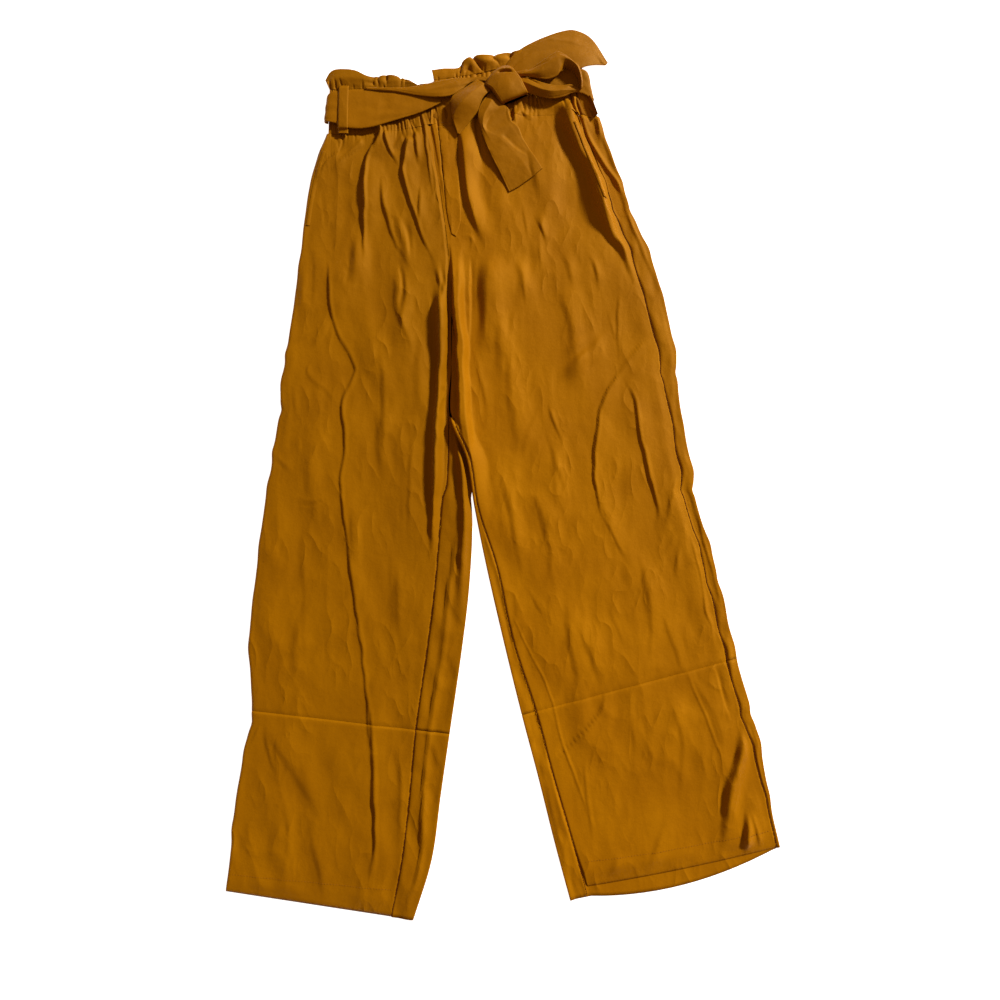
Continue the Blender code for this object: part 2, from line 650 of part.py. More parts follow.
def trousers():
    clear_scene()
    cloth = material("cloth", CLOTH_COLOUR)
    wrong_side = material("wrong_side", WRONG_SIDE_COLOUR)
    for side in ("right", "left"):
        front_panel(side, "upper", 0, SHIN_ROW, cloth)
        front_panel(side, "shin", SHIN_ROW, HEM_ROW, cloth)
        back_panel(side, "upper", 0, SHIN_ROW, wrong_side)
        back_panel(side, "shin", SHIN_ROW, HEM_ROW, wrong_side)
    waist(cloth, wrong_side)
    sash(cloth)
    trimmings(cloth)


trousers()
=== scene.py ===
"""Paperbag waist trousers, laid flat with the front up: fine cloth over the solids of the part.

Tables are in millimetres, in the same frame as the part's own tables: x to the wearer's left,
y towards the waist, z up. Objects are in metres, in the row frame.
"""

import json
import math

import bpy
import numpy as np
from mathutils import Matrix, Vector

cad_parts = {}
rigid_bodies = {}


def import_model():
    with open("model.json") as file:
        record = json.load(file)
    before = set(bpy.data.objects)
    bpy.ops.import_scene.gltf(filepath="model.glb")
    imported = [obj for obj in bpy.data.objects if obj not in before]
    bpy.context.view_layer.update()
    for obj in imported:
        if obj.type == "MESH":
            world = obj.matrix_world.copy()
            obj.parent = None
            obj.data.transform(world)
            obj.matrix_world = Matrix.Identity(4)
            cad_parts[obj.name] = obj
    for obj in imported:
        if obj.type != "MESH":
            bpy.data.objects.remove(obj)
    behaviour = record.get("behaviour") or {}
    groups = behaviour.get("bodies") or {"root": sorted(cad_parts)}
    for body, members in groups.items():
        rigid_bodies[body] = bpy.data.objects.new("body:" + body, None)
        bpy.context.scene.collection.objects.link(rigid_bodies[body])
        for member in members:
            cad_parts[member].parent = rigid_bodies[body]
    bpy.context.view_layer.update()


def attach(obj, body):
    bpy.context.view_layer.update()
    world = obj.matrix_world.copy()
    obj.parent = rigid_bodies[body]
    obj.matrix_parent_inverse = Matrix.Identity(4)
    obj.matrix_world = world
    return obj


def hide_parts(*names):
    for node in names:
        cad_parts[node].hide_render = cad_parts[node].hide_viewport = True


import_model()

MM = 0.001
CENTRE_X = 4.5             # the row frame's origin in the tables' frame
CENTRE_Y = 62.845
CLOTH = 0.9                # thickness of the cloth's shell
RIBBON = 1.4               # thickness of the sash, which is sewn double
AIR = 0.15                 # between the front cloth and what lies on it
LEG_HEIGHT = 3.0           # of the front cloth over the legs, without its creases
WAIST_HEIGHT = 5.4         # the same at the casing
WAIST_RISE = (400, 490)    # y between which it rises
EDGE_RADIUS = 1.5          # of the back cloth round a leg's edge
CROTCH_ROW = 4             # rows of the legs' tables
SHIN_ROW = 9
HEM_ROW = 12
GAP = 0.3                  # between pieces at a seam
SHIN_GAP = {"front": 0.06, "back": 0.0}    # between a leg's upper and shin panels
CENTRE_REACH = {"right": 0.4, "left": 0.1}    # how far a front runs past the centre seam
SEAM_FADE = 12             # creases die out over this width beside a seam
FINE_ACROSS = 1.35         # pitch of the front cloth's grid across a leg
FINE_ALONG = 3.0           # the same along it
BACK_ALONG = 4.0           # the same of the back cloth's
HEM_HEIGHT = 1.95          # of the front cloth's top at the hem
INSEAM_TOP = 2.2           # the same at the inseam
SIDE_SEAM_TOP = 2.1        # the same at the side seam
SIDE_ROLL = {"right": 3.5, "left": 1.6}    # width over which it sinks to the side seam
INSEAM_ROLL = 1.8          # the same to the inseam
SEAM_ROLL = 2.6            # the same to a seam or hem across the leg
ROW_LENGTH = 80            # about how far the rows of a leg's table lie apart
HEM_THINNED = 0.45         # the hem's edge is this much lower on top
HEM_UNDER = 0.4            # and this much higher below
GAP_FLOOR = 1.9            # height of the cloth in the centre gap
GAP_ROLL = 3.2             # width over which it sinks into it
LEAST_HEIGHT = 1.3         # the front cloth does not sink below this
FLOOR_SOFT = 1.3           # how softly it is kept above it
BANK_LIFT = 12.0           # height of the left leg's bank beside the centre gap
BANK_WIDTH = 9
BANK_LEAN = 0.45           # how far it leans over the gap, for each mm up
LEAN_WIDTH = 7             # width beside the centre seam that leans
FORK_LIFT = 11.0           # how far the left leg's edge stands up beside the fork
FORK_WIDTH = 22            # width of the cloth that stands up with it
FORK_TUCK = 3.8            # how far the right leg's edge is tucked in there
BACK_LEFT_TOP = 4.4        # least height of the back's waist beside its left end
GATHER_HEIGHT = {"right": 0.8, "left": 1.3}

# How a crease runs.
WANDER = 1.1               # how far its line strays
WANDER_SIZE = 16           # length of a stray
SWAY = 0.25                # share by which its height and width vary
SWAY_SIZE = 38             # length over which they do
TAPER = 70                 # longest run-out at its end
START_TAPER = 40           # longest run-in at its start
NARROW = 5                 # widest steep side of a narrow crease
SEAM_LEVEL = 468           # a narrow crease that starts above this y starts at the casing seam
SEAM_TAPER = 6             # and has this run-in
CREST_SHARE = 0.5          # how far its crest lies to the right of the line, by its steep side
LIP = 0.3                  # share of a narrow crease's height that is a lip at its crest
LIP_WIDTH = 5.0

NOISE_CELLS = 64
NOISE_START = (31.7, 17.3)    # place of the origin in the noise's cells
# Random seeds.
FRONT_SEEDS = {"right": 11, "left": 57}
STRIP_SEEDS = {"right": 211, "left": 251}
OUTLINE_SEEDS = {"right": 611, "left": 613}
BAND_SEEDS = {"right": 5, "left": 9, "back": 3}

# Darker and lighter shade of each cloth.
OCHRE = ((0.240, 0.0880, 0.0004), (0.270, 0.1020, 0.0004))
# The wearer's left leg gets a lighter copy of the same ochre: painted light, which makes that leg
# look more brightly lit.
PAINTED_LIT_OCHRE = ((0.292, 0.1060, 0.0004), (0.338, 0.1280, 0.0006))
INSIDE_OCHRE = ((0.190, 0.0650, 0.0004), (0.230, 0.0810, 0.0004))
SASH_OCHRE = ((0.245, 0.0900, 0.0006), (0.285, 0.1060, 0.0008))
# the left leg's back strips also take the lighter ochre with painted light
BACK_LOOKS = {"right": "back", "left": "left"}
CRINKLE_SCALE = (52, 26, 52)    # for each metre
CRINKLE_DEPTH = 0.0012          # in metres

# Floor, light and camera, in metres and degrees, and the lens in millimetres.
FLOOR_HALF = 4
FLOOR_DEPTH = 0.0005
FLOOR_GLOW = 1.1
SKY_COLOUR = (1, 0.66, 0.46, 1)
SKY_STRENGTH = 0.26
SUN_COLOUR = (1, 0.97, 0.9)
SUN_STRENGTH = 5.3
SUN_WIDTH = 7
SUN_HEIGHT = 31
SUN_TURN = 38
CAMERA_LENS = 28
CAMERA_SENSOR = 36
CAMERA_AT = (-0.0045, -0.1632, 0.9547)
CAMERA_TILT = 6

LEG_COLUMNS = ("outer_x", "outer_y", "inner_x", "inner_y", "side_inset", "inseam_inset")
RIGHT_LEG = (
    (-225, 476, -90, 489, 0, 0),
    (-246, 400, -77, 402, 0, 0),
    (-256, 290, -63.5, 292, 0, 0),
    (-269, 180, -61, 182, 0, 0),
    (-276, 100, -62, 104, 0, 5),
    (-283, 40, -42.3, 40, 0, 26),
    (-291, -20, -34, -22, 0, 39),
    (-298, -95, -37, -103, 0, 42),
    (-303, -172, -46, -183, 0, 42),
    (-298, -254, -60, -281, 0, 41),
    (-311, -345, -70, -352, 0, 37),
    (-317, -415, -80, -425, 0, 35),
    (-321, -461, -101, -493, 0, 26),
)
LEFT_LEG = (
    (129, 498, -90, 489, 27, 0),
    (160, 398, -77, 402, 22, 0),
    (199, 288, -63.5, 292, 25, 0),
    (219, 190, -61, 182, 22, 0),
    (226, 104, -62, 104, 14, 4),
    (236, 50, -41.5, 50, 16, 5),
    (243, -8, -31, -12, 14, 5),
    (256, -54, -16, -85, 14, 13),
    (271, -115, 5, -175, 14, 12),
    (285, -192, 26, -259, 13, 18),
    (306, -272, 45, -330, 12, 18),
    (320, -360, 64, -405, 5, 21),
    (330, -411, 82, -471, 4, 21),
)
LEGS = {"right": RIGHT_LEG, "left": LEFT_LEG}
TOP_BOW = {"right": -5, "left": 7}    # how far the casing seam is bowed
HEM_BOW = {"right": 0, "left": -15}    # how far the back hem is
FRONT_HEM_LIFT = {"right": 0, "left": 10}    # how far the front hem rises to the inseam

# Creases: height where the line starts and where it ends, width of the steep side, width of the
# soft side, and the line from the waist down. A positive one is a ridge with its steep side to
# the left, a negative one is a valley. A point's third value is a share of the height.
RIGHT_CREASES = (
    (5.6, 4.6, 4, 28, ((-158, 492), (-158, 472), (-173, 445), (-175, 413), (-175, 357),
                       (-174, 296))),
    (2.4, 1.2, 2.2, 10, ((-149, 480), (-148, 467), (-142, 451), (-134, 438), (-128, 428))),
    (1.6, 1.2, 3, 8, ((-126, 474), (-141, 455))),
    (3.6, 2.2, 2.4, 20, ((-120, 472, 1), (-124, 445, 1.1), (-126, 425, 1.1), (-122, 404, 0.9),
                         (-114, 378, 0.8), (-106, 356, 0.8), (-98, 332, 0.8), (-90, 316, 0.9),
                         (-80, 293, 0.9))),
    (3, 1.6, 4, 9, ((-112, 480), (-106, 430))),
    (1.6, 1.2, 2, 9, ((-117, 470), (-122, 452), (-125, 428))),
    (1.4, 0.8, 4, 10, ((-101, 404), (-105, 350))),
    (-2, -2, 3, 6, ((-75, 296), (-75, 246))),
    (2.4, 1.8, 9, 14, ((-140, 380), (-112, 280))),
    (-1.8, -1.6, 4, 6, ((-128, 362), (-119, 338), (-114, 304))),
    (-2, -1.8, 4, 7, ((-132, 314), (-126, 273), (-128, 243))),
    (1.5, 1.2, 3, 9, ((-201, 460), (-233, 428), (-236, 402))),
    (1.8, 1.2, 3, 9, ((-178, 470), (-219, 427))),
    (0.8, 0.8, 3, 8, ((-229, 394), (-228, 346))),
    (2.6, 2.2, 3, 32, ((-219, 310), (-212, 230), (-185, 173), (-183, 158), (-197, 122), (-193, 74),
                       (-197, 17), (-191, -31), (-178, -116), (-166, -194), (-158, -263),
                       (-154, -320))),
    (1.6, 5.6, 4.5, 26, ((-160, -230), (-152, -300), (-150, -342), (-149, -409), (-154, -456))),
    (1, 0.7, 2, 8, ((-176, -112), (-203, -138), (-207, -152))),
    (0.9, 0.7, 2, 7, ((-212, 232), (-228, 213), (-268, 186))),
    (1.4, 1.2, 2.5, 16, ((-222, 190), (-243, 161), (-217, 135), (-196, 110))),
    (0.8, 0.6, 2, 8, ((-248, 102), (-276, 79))),
    (0.8, 0.6, 2, 8, ((-284, 58), (-256, 32))),
    (0.8, 0.8, 2, 8, ((-270, 4), (-228, -3), (-198, 15))),
    (0.7, 0.5, 3, 8, ((-225, -4), (-239, -44))),
    (0.8, 0.6, 5, 9, ((-262, 150), (-254, 96))),
    (2, 1.6, 6, 20, ((-135, 300), (-129, 235), (-112, 190))),
    (1.4, 1, 5, 10, ((-134, 196), (-164, 170))),
    (11.5, 13, 10, 13, ((-82, 278), (-79, 200), (-80, 150), (-84, 74), (-84, -5), (-84, -84))),
    (0.9, 0.7, 5, 12, ((-110, 90), (-113, -25), (-108, -66))),
    (1.4, 1, 3, 14, ((-284, -266), (-306, -304))),
    (2, 1.2, 3.5, 16, ((-284, -270), (-268, -332))),
    (2.4, 1.6, 9, 28, ((-286, -270), (-240, -334), (-202, -392))),
    (0.8, 0.8, 3, 8, ((-305, -411), (-284, -425))),
    (1.4, 1, 8, 20, ((-245, -20), (-240, -110), (-235, -200))),
    (1.2, 0.8, 6, 16, ((-135, -60), (-132, -150), (-126, -225))),
    (1.8, 1.4, 8, 20, ((-126, -290), (-118, -360), (-125, -440))),
    (1.4, 1.4, 7, 16, ((-226, -390), (-212, -440), (-204, -480))),
    (1, 1, 6, 14, ((-262, -330), (-250, -400), (-256, -452))),
    (1.2, 0.8, 6, 18, ((-240, 330), (-236, 270), (-240, 220))),
    (1.6, 1.2, 7, 16, ((-150, 190), (-146, 110), (-150, 30))),
    (4.4, 3.6, 11, 26, ((-188, 352), (-187, 303), (-192, 262))),
    (2.6, 2.4, 5, 18, ((-152, 425), (-152, 390), (-143, 354), (-135, 328), (-124, 310),
                       (-114, 286))),
    (-1.4, -0.8, 1.3, 2.4, ((-170, 464), (-197, 445), (-218, 430))),
    (-1.4, -1, 1.3, 2.4, ((-192, 462), (-220, 445), (-230, 433), (-234, 413))),
    (1.2, 1, 1.4, 5, ((-102, 409), (-104, 386), (-104, 356))),
    (1.4, 1, 1.6, 6, ((-86, 406), (-80, 386), (-73, 364), (-69, 338))),
    (-2, -1.6, 4, 6, ((-232, 402), (-229, 378), (-227, 346))),
    (-1, -0.8, 1.2, 2, ((-212, 472), (-208, 454))),
    (-1, -0.8, 1.2, 2, ((-126, 467), (-136, 454), (-140, 446))),
    (1.8, 1.4, 6, 16, ((-127, 303), (-121, 264), (-125, 228), (-114, 195), (-119, 166))),
    (3.2, 2.4, 6, 6, ((-85, 303), (-76, 269), (-79, 243))),
    (2, 1.4, 10, 16, ((-101, 215), (-105, 150), (-98, 87))),
    (2.2, 1.6, 12, 18, ((-254, 319), (-258, 267), (-252, 215))),
    (2.6, 1.6, 10, 18, ((-150, 125), (-153, 62), (-143, 0))),
    (2, 1.4, 12, 20, ((-236, 100), (-239, 24), (-225, -50))),
    (2.4, 2, 10, 20, ((-124, -74), (-128, -134), (-118, -194))),
    (2.2, 1.6, 10, 18, ((-243, -122), (-250, -194), (-239, -241))),
    (1.6, 1.2, 5, 10, ((-243, 186), (-224, 204), (-212, 233))),
    (1.2, 1, 3, 7, ((-264, 195), (-236, 211), (-214, 225))),
    (2, 1.4, 8, 14, ((-182, 0), (-183, -74), (-172, -134))),
)
LEFT_CREASES = (
    (-5.5, -3.5, 2, 2.6, ((116, 452, 0.2), (120, 440, 1), (124, 428, 1), (132, 408, 0.8),
                          (140, 385, 0.5), (148, 366, 0.2))),
    (3, 2.2, 1.8, 7, ((111, 472, 0.4), (122, 452, 1), (140, 424, 1), (158, 394, 0.8),
                      (174, 364, 0.5))),
    (7.5, 11, 8.5, 26, ((-56, 494), (-53, 466), (-50, 437), (-45, 392), (-36, 362), (-20, 322))),
    (-4.5, -5, 2.5, 16, ((-38, 314), (-37, 260), (-38, 211), (-47, 166))),
    (1.6, 1.6, 2.5, 6, ((-58, 335), (-37, 335), (-40, 318))),
    (6, 5, 15, 34, ((-18, 322, 0.3), (-21, 300, 1), (-23, 253, 1), (-25, 201, 1), (-36, 166, 0.4))),
    (2.2, 1.4, 5, 14, ((-35, 194), (-25, 152), (-17, 100))),
    (12.5, 11, 12, 22, ((64, 524, 0.2), (74, 508, 0.6), (86, 480, 0.85), (98, 448, 0.9),
                        (112, 424, 0.95), (121, 392, 0.95), (130, 358, 0.9), (140, 334, 0.75),
                        (155, 317, 0.65), (172, 277, 0.6), (187, 250, 0.3))),
    (4, 2, 30, 10, ((86, 508, 0.6), (86, 490, 1), (92, 466, 1), (100, 440, 0.4))),
    (0.8, 0.6, 2.5, 14, ((26, 392), (37, 324))),
    (1, 0.6, 2.5, 14, ((41, 372), (64, 316))),
    (0.9, 0.7, 2.5, 12, ((50, 338), (51, 282))),
    (1, 0.8, 4, 10, ((26, 290), (33, 240))),
    (0.8, 0.6, 3, 12, ((118, 308), (124, 268))),
    (2.2, 1.8, 3, 12, ((151, 268), (147, 208), (150, 166))),
    (1.4, 1, 3, 9, ((135, 240), (145, 198))),
    (2.8, 2.2, 2.5, 10, ((186, 206), (154, 172))),
    (2.8, 3, 2, 24, ((164, 180), (140, 147), (123, 107), (116, 43), (119, 0), (126, -34))),
    (2.6, 3.8, 4, 22, ((152, 152), (166, 128), (175, 67), (190, 5), (193, -14), (186, -48))),
    (2.2, 1.6, 8, 20, ((114, 198), (74, 150))),
    (1.2, 0.8, 3, 12, ((52, 126), (23, 56))),
    (1.1, 0.8, 3.5, 12, ((57, 132), (71, 74))),
    (1.2, 1, 6, 16, ((53, 92), (66, 54), (86, -14))),
    (2, 2.2, 5, 16, ((223, 52), (209, 1), (199, -40))),
    (1.4, 1.2, 3, 8, ((216, -38), (195, -72))),
    (1.2, 1, 3, 8, ((219, -56), (210, -98))),
    (1.6, 1.4, 3, 8, ((230, -34), (246, -105), (248, -137), (256, -158), (252, -200))),
    (1.4, 1, 4, 18, ((120, -12), (158, -82))),
    (0.9, 0.7, 5, 16, ((130, -128), (152, -186))),
    (1, 0.8, 5, 14, ((193, -128), (222, -222))),
    (0.9, 0.7, 4, 12, ((31, -106), (56, -149))),
    (0.8, 0.8, 2, 3, ((10, -132), (29, -175), (55, -225), (74, -292), (100, -364), (114, -398))),
    (2.4, 3.6, 2.4, 22, ((125, -224), (120, -254), (86, -290), (52, -322))),
    (0.8, 0.8, 2, 3.5, ((219, -200), (245, -263), (272, -332))),
    (-2.2, -2, 3, 12, ((255, -194), (277, -272))),
    (8, 6, 8, 18, ((290, -262, 0.5), (284, -295, 1), (271, -335, 1), (265, -361, 1),
                   (265, -378, 0.8), (261, -401, 0.9), (256, -430, 0.7))),
    (2, 1.6, 4, 9, ((295, -368), (307, -420))),
    (5, 8, 6, 12, ((291, -364), (288, -392), (285, -430))),
    (1.8, 1.4, 6, 16, ((196, -378), (170, -442))),
    (1.6, 1.6, 7, 24, ((142, -412), (119, -454))),
    (2.2, 1.4, 10, 26, ((16, 260), (10, 150), (24, 40))),
    (2.2, 1.6, 10, 24, ((72, 280), (88, 200), (72, 140))),
    (1.4, 1, 8, 22, ((90, -140), (112, -200), (117, -232))),
    (1.4, 1, 8, 18, ((150, -250), (158, -300), (148, -360))),
    (1.2, 1, 6, 16, ((205, -245), (216, -300), (209, -380))),
    (0.8, 0.8, 2.5, 5, ((99, -294), (102, -352), (111, -418))),
    (1.6, 1.2, 8, 24, ((40, 20), (58, -60), (66, -130))),
    (1.4, 1, 8, 18, ((170, -60), (178, -120), (170, -180))),
    (2.2, 1.6, 9, 18, ((19, 318, 0.2), (25, 283, 1), (28, 247, 0.4))),
    (2, 1.4, 7, 14, ((72, 330, 0.2), (85, 296, 1), (96, 260, 0.4))),
    (1.6, 1.2, 5, 10, ((110, 322, 0.2), (121, 293, 1), (123, 265, 0.4))),
    (3.6, 2.4, 10, 18, ((149, 230), (118, 199), (83, 168), (65, 145))),
    (2.6, 1.8, 8, 14, ((126, 225), (98, 202), (70, 186))),
    (2, 1.6, 5, 10, ((133, 204), (125, 186), (108, 168))),
    (2.2, 1.6, 10, 22, ((0, 254), (-3, 189), (2, 125))),
    (2.4, 1.8, 12, 20, ((51, 386), (43, 319), (38, 254))),
    (2, 1.6, 10, 18, ((75, 100), (64, 37), (73, -37))),
    (2.4, 1.8, 9, 18, ((0, 37), (15, -37), (24, -98))),
    (1.2, 0.9, 3, 7, ((45, 89), (32, 72), (25, 54))),
    (1.2, 0.9, 3, 7, ((57, 125), (65, 100), (82, 59))),
    (2, 1.6, 8, 20, ((168, -60, 0.2), (181, -146, 1), (178, -218, 0.4))),
    (2, 1.6, 8, 20, ((78, -108, 0.2), (87, -194, 1), (105, -264, 0.4))),
    (2, 1.6, 7, 12, ((36, 454), (44, 420), (46, 386))),
    (1.6, 1.2, 4, 8, ((47, 367), (54, 346), (59, 325))),
)
FRONT_CREASES = {"right": RIGHT_CREASES, "left": LEFT_CREASES}
# Creases of the strips that the back cloth shows in front.
STRIP_CREASES = (
    (3, 2.2, 1.8, 7, ((111, 472, 0.4), (122, 452, 1), (140, 424, 1), (158, 394, 0.8),
                      (174, 364, 0.5))),
    (9, 7, 8, 8, ((-58, 170), (-56, 108), (-53, 78), (-50, 33), (-47, -13), (-49, -70),
                  (-53, -130))),
    (3, 3.4, 2.5, 9, ((-53, -30), (-64, -116), (-72, -196), (-86, -276), (-92, -350), (-94, -422),
                      (-112, -486))),
    (1.4, 1, 3, 8, ((-86, -284), (-69, -330))),
    (1.6, 1.4, 4, 8, ((235, 66), (247, -40), (262, -100), (273, -156))),
    (1.4, 1.2, 4, 8, ((213, 230), (220, 170), (222, 104))),
    (1.4, 1.2, 4, 9, ((295, -252), (308, -300), (319, -356))),
    (8, 6, 4, 10, ((112, 528, 0.8), (118, 516, 1), (124, 501, 1), (127, 484, 1), (128, 462, 0.6))),
    (-3, -2, 4, 5, ((102, 530, 1), (106, 513, 1), (115, 496, 1), (122, 478, 0.6))),
    (2.4, 1.6, 2.4, 5, ((98, 526), (104, 506), (106, 488), (112, 470), (131, 436))),
    (-2.4, -1.8, 3, 6, ((134, 458), (142, 440), (154, 412), (162, 391))),
    (2, 1.6, 2.4, 6, ((144, 449), (154, 423), (165, 395), (175, 370))),
    (1.6, 1.2, 4, 9, ((149, 406), (176, 330), (205, 256))),
    (4.5, 3, 5, 6, ((131, 478, 0.3), (137, 458, 1), (146, 436, 1), (156, 410, 0.4))),
    (3.5, 2.5, 6, 7, ((160, 404, 0.3), (170, 380, 1), (180, 350, 1), (190, 320, 0.4))),
)

# The dark gap between the legs above the fork: y, and the x of its two edges.
GAP_COLUMNS = ("y", "right_edge", "left_edge")
CENTRE_GAP = (
    (520, -96.4, -94.2),
    (489, -92, -89.6),
    (446, -85.6, -83),
    (402, -78.4, -75.6),
    (357, -70.8, -67.6),
    (300, -66, -63),
    (262, -65, -61.5),
    (225, -63.6, -59.5),
    (205, -65, -57),
    (176, -65.5, -56.5),
    (150, -66.5, -54),
    (125, -67, -53),
    (105, -67, -53.5),
    (60, -60, -46),
    (20, -56, -40),
)

# Where a leg's outer edge bulges: y, how far out, and half the length of the bulge.
OUTLINE_BUMPS = {
    "right": ((452, 1.5, 14), (300, 1.2, 16), (184, 2, 9), (150, 2.6, 16), (112, -2, 7),
              (60, 1.6, 9), (20, 1.5, 12), (-60, 1.2, 16), (-180, 1.5, 14), (-268, -2, 8),
              (-300, 1.6, 14), (-390, 1.5, 12)),
    "left": ((470, -1.5, 12), (412, 2.2, 12), (372, -2.2, 9), (322, 2.4, 13), (262, 1.2, 12),
             (190, 2.4, 13), (160, -2.2, 7), (96, 1.2, 14), (36, 2.6, 12), (12, -2.2, 6),
             (-54, 1.8, 12), (-100, -1.4, 10), (-178, 1.8, 14), (-258, -2.4, 8), (-290, 2.2, 12),
             (-352, 1.6, 12)),
}

# Creases of the gathers, which run from the casing into the legs.
GATHER_CREASES = {
    "right": (
        (-1.6, -0.8, 1.6, 2.6, ((-221, 498), (-218, 478), (-218, 462))),
        (-1.5, -0.6, 1.6, 2.4, ((-214, 498), (-213, 477), (-214, 460))),
        (-2.2, -1.2, 1.8, 4, ((-208, 492), (-205, 470), (-207, 458), (-210, 444))),
        (-2.4, -1.6, 1.8, 3, ((-168, 496), (-163, 471), (-166, 450))),
        (-1.6, -1, 1.4, 2.2, ((-160, 498), (-157, 478), (-159, 466))),
        (-1.8, -1, 1.4, 2.2, ((-155, 498), (-152, 478), (-154, 466))),
        (-1.8, -1.2, 1.4, 2.4, ((-150, 500), (-147, 477), (-143, 464))),
        (-2, -1.2, 1.4, 2.2, ((-137, 505), (-134, 484), (-135, 466))),
        (-2.2, -1.2, 1.4, 2.2, ((-131, 508), (-129, 484), (-125, 466))),
        (-2.2, -1.2, 1.4, 2.2, ((-125, 510), (-123, 485), (-120, 466))),
        (-2.4, -1.6, 1.6, 2.6, ((-120, 510), (-115, 484), (-107, 465))),
        (-1.6, -1, 1.6, 3, ((-113, 512), (-114, 491), (-102, 466))),
        (-1.6, -1, 1.6, 2.6, ((-102, 514), (-103, 492), (-100, 464))),
        (-1.4, -0.8, 1.6, 2.6, ((-179, 490), (-181, 464))),
        (-1.2, -0.8, 1.6, 2.6, ((-187, 490), (-189, 460))),
        (-1.2, -0.8, 1.6, 2.6, ((-198, 490), (-199, 462))),
        (1.6, 1.2, 2, 4, ((-101, 505), (-97, 470), (-91, 420), (-84, 380))),
    ),
    "left": (
        (-3.4, -2.8, 1.8, 2.2, ((-88, 525), (-81, 487), (-77, 455), (-74, 423), (-69, 372),
                                (-66, 330))),
        (-2, -1.2, 1.8, 3, ((-72, 520), (-68, 470), (-65, 430))),
        (-4.5, -1.5, 4, 5, ((-34, 520), (-33, 496), (-30, 470), (-25, 440), (-23, 425))),
        (-2.2, -1.2, 1.6, 2.6, ((-2, 535), (4, 500))),
        (-2.2, -1.6, 1.6, 2.4, ((5, 535), (9, 508), (10, 494))),
        (-8.5, -7, 3.5, 4.5, ((13, 525, 1), (13, 508, 1), (15, 488, 0.8))),
        (2.4, 2, 2.5, 4, ((0, 511), (4, 500), (6, 486))),
        (3, 2, 3, 8, ((20, 489), (24, 500), (31, 508))),
        (-2, -1, 1.4, 2.4, ((18, 535), (21, 508))),
        (-2.4, -1.6, 1.6, 2.8, ((23, 535), (30, 511), (27, 499))),
        (-2.4, -1.6, 1.5, 2.4, ((35, 535), (37, 502))),
        (-2.4, -1.6, 1.5, 2.4, ((41, 535), (44, 500))),
        (-2, -1.2, 1.5, 2.4, ((46, 535), (50, 504))),
        (-1.6, -0.8, 1.5, 2.4, ((53, 535), (52, 508))),
        (-1.6, -0.8, 1.5, 2.4, ((60, 535), (58, 510))),
        (-1.4, -0.8, 1.5, 2.4, ((69, 535), (68, 512))),
        (-2, -1.2, 1.8, 3, ((79, 540), (85, 500))),
        (-4, -2.6, 2.2, 3.6, ((87, 540), (92, 515), (98, 488))),
        (-2.8, -1.8, 1.8, 3, ((96, 540), (103, 505))),
        (1.8, 1.6, 2.4, 8, ((26, 508), (34, 499), (43, 498), (51, 505))),
        (3.2, 2.4, 1.6, 3, ((94, 528, 1), (96, 508, 1), (102, 492, 1), (112, 470, 0.8),
                            (131, 436, 0.6))),
        (6.5, 5, 15, 9, ((78, 522), (84, 505), (94, 483))),
        (-2, -1.4, 1.6, 2.4, ((88, 527), (92, 514), (94, 500))),
        (2.6, 1.6, 3.5, 9, ((-16, 474), (-12, 489), (-4, 500), (6, 506))),
        (3, 2.4, 3.5, 12, ((16, 478), (20, 492), (28, 500))),
    ),
}

# Rolls of the ruffle from the wearer's right: where each starts and ends, and its height.
RUFFLE_ROLLS = {
    "right": ((-231, -163, 6), (-165, -158, 3), (-159, -147, 4), (-148, -128, 4.5),
              (-129, -123, 2.5), (-124, -106, 3.5)),
    "left": ((-92, -50, 1.4), (-50, -36, 5), (-37, -9, 7), (-10, 14, 5), (14, 36, 5.5), (36, 50, 4),
             (50, 74, 5), (74, 90, 4), (90, 110, 5)),
}
RUFFLE_LEAN = {"right": 0, "left": 0.8}    # how far its rolls lean over, for each mm up
RUFFLE_LEAN_FROM = (-50, 578)                # no lean before this x; no shift at this y
RUFFLE_CREASES = {
    "right": (
        (-2.2, -1.4, 1.6, 2.6, ((-218, 532), (-219, 543), (-221, 549))),
        (-2.2, -1.4, 1.6, 2.6, ((-212, 532), (-212, 541), (-214, 549))),
        (-2, -1.4, 1.6, 2.6, ((-206, 532), (-205, 540), (-208, 549))),
        (-1.6, -1, 1.4, 2.4, ((-199, 532), (-201, 541))),
        (-1.4, -1, 1.6, 2.6, ((-189, 532), (-187, 541))),
        (-1.6, -1, 1.6, 2.6, ((-178, 532), (-176, 546))),
        (-1.2, -1, 1.6, 2.6, ((-149, 532), (-150, 543))),
    ),
    "left": (
        (-1, -0.8, 1.6, 2.6, ((-80, 545), (-79, 554))),
        (-1.4, -1, 1.6, 2.6, ((-56, 548), (-55, 560))),
        (-1.4, -1, 1.6, 2.6, ((-20, 555), (-19, 568))),
    ),
}

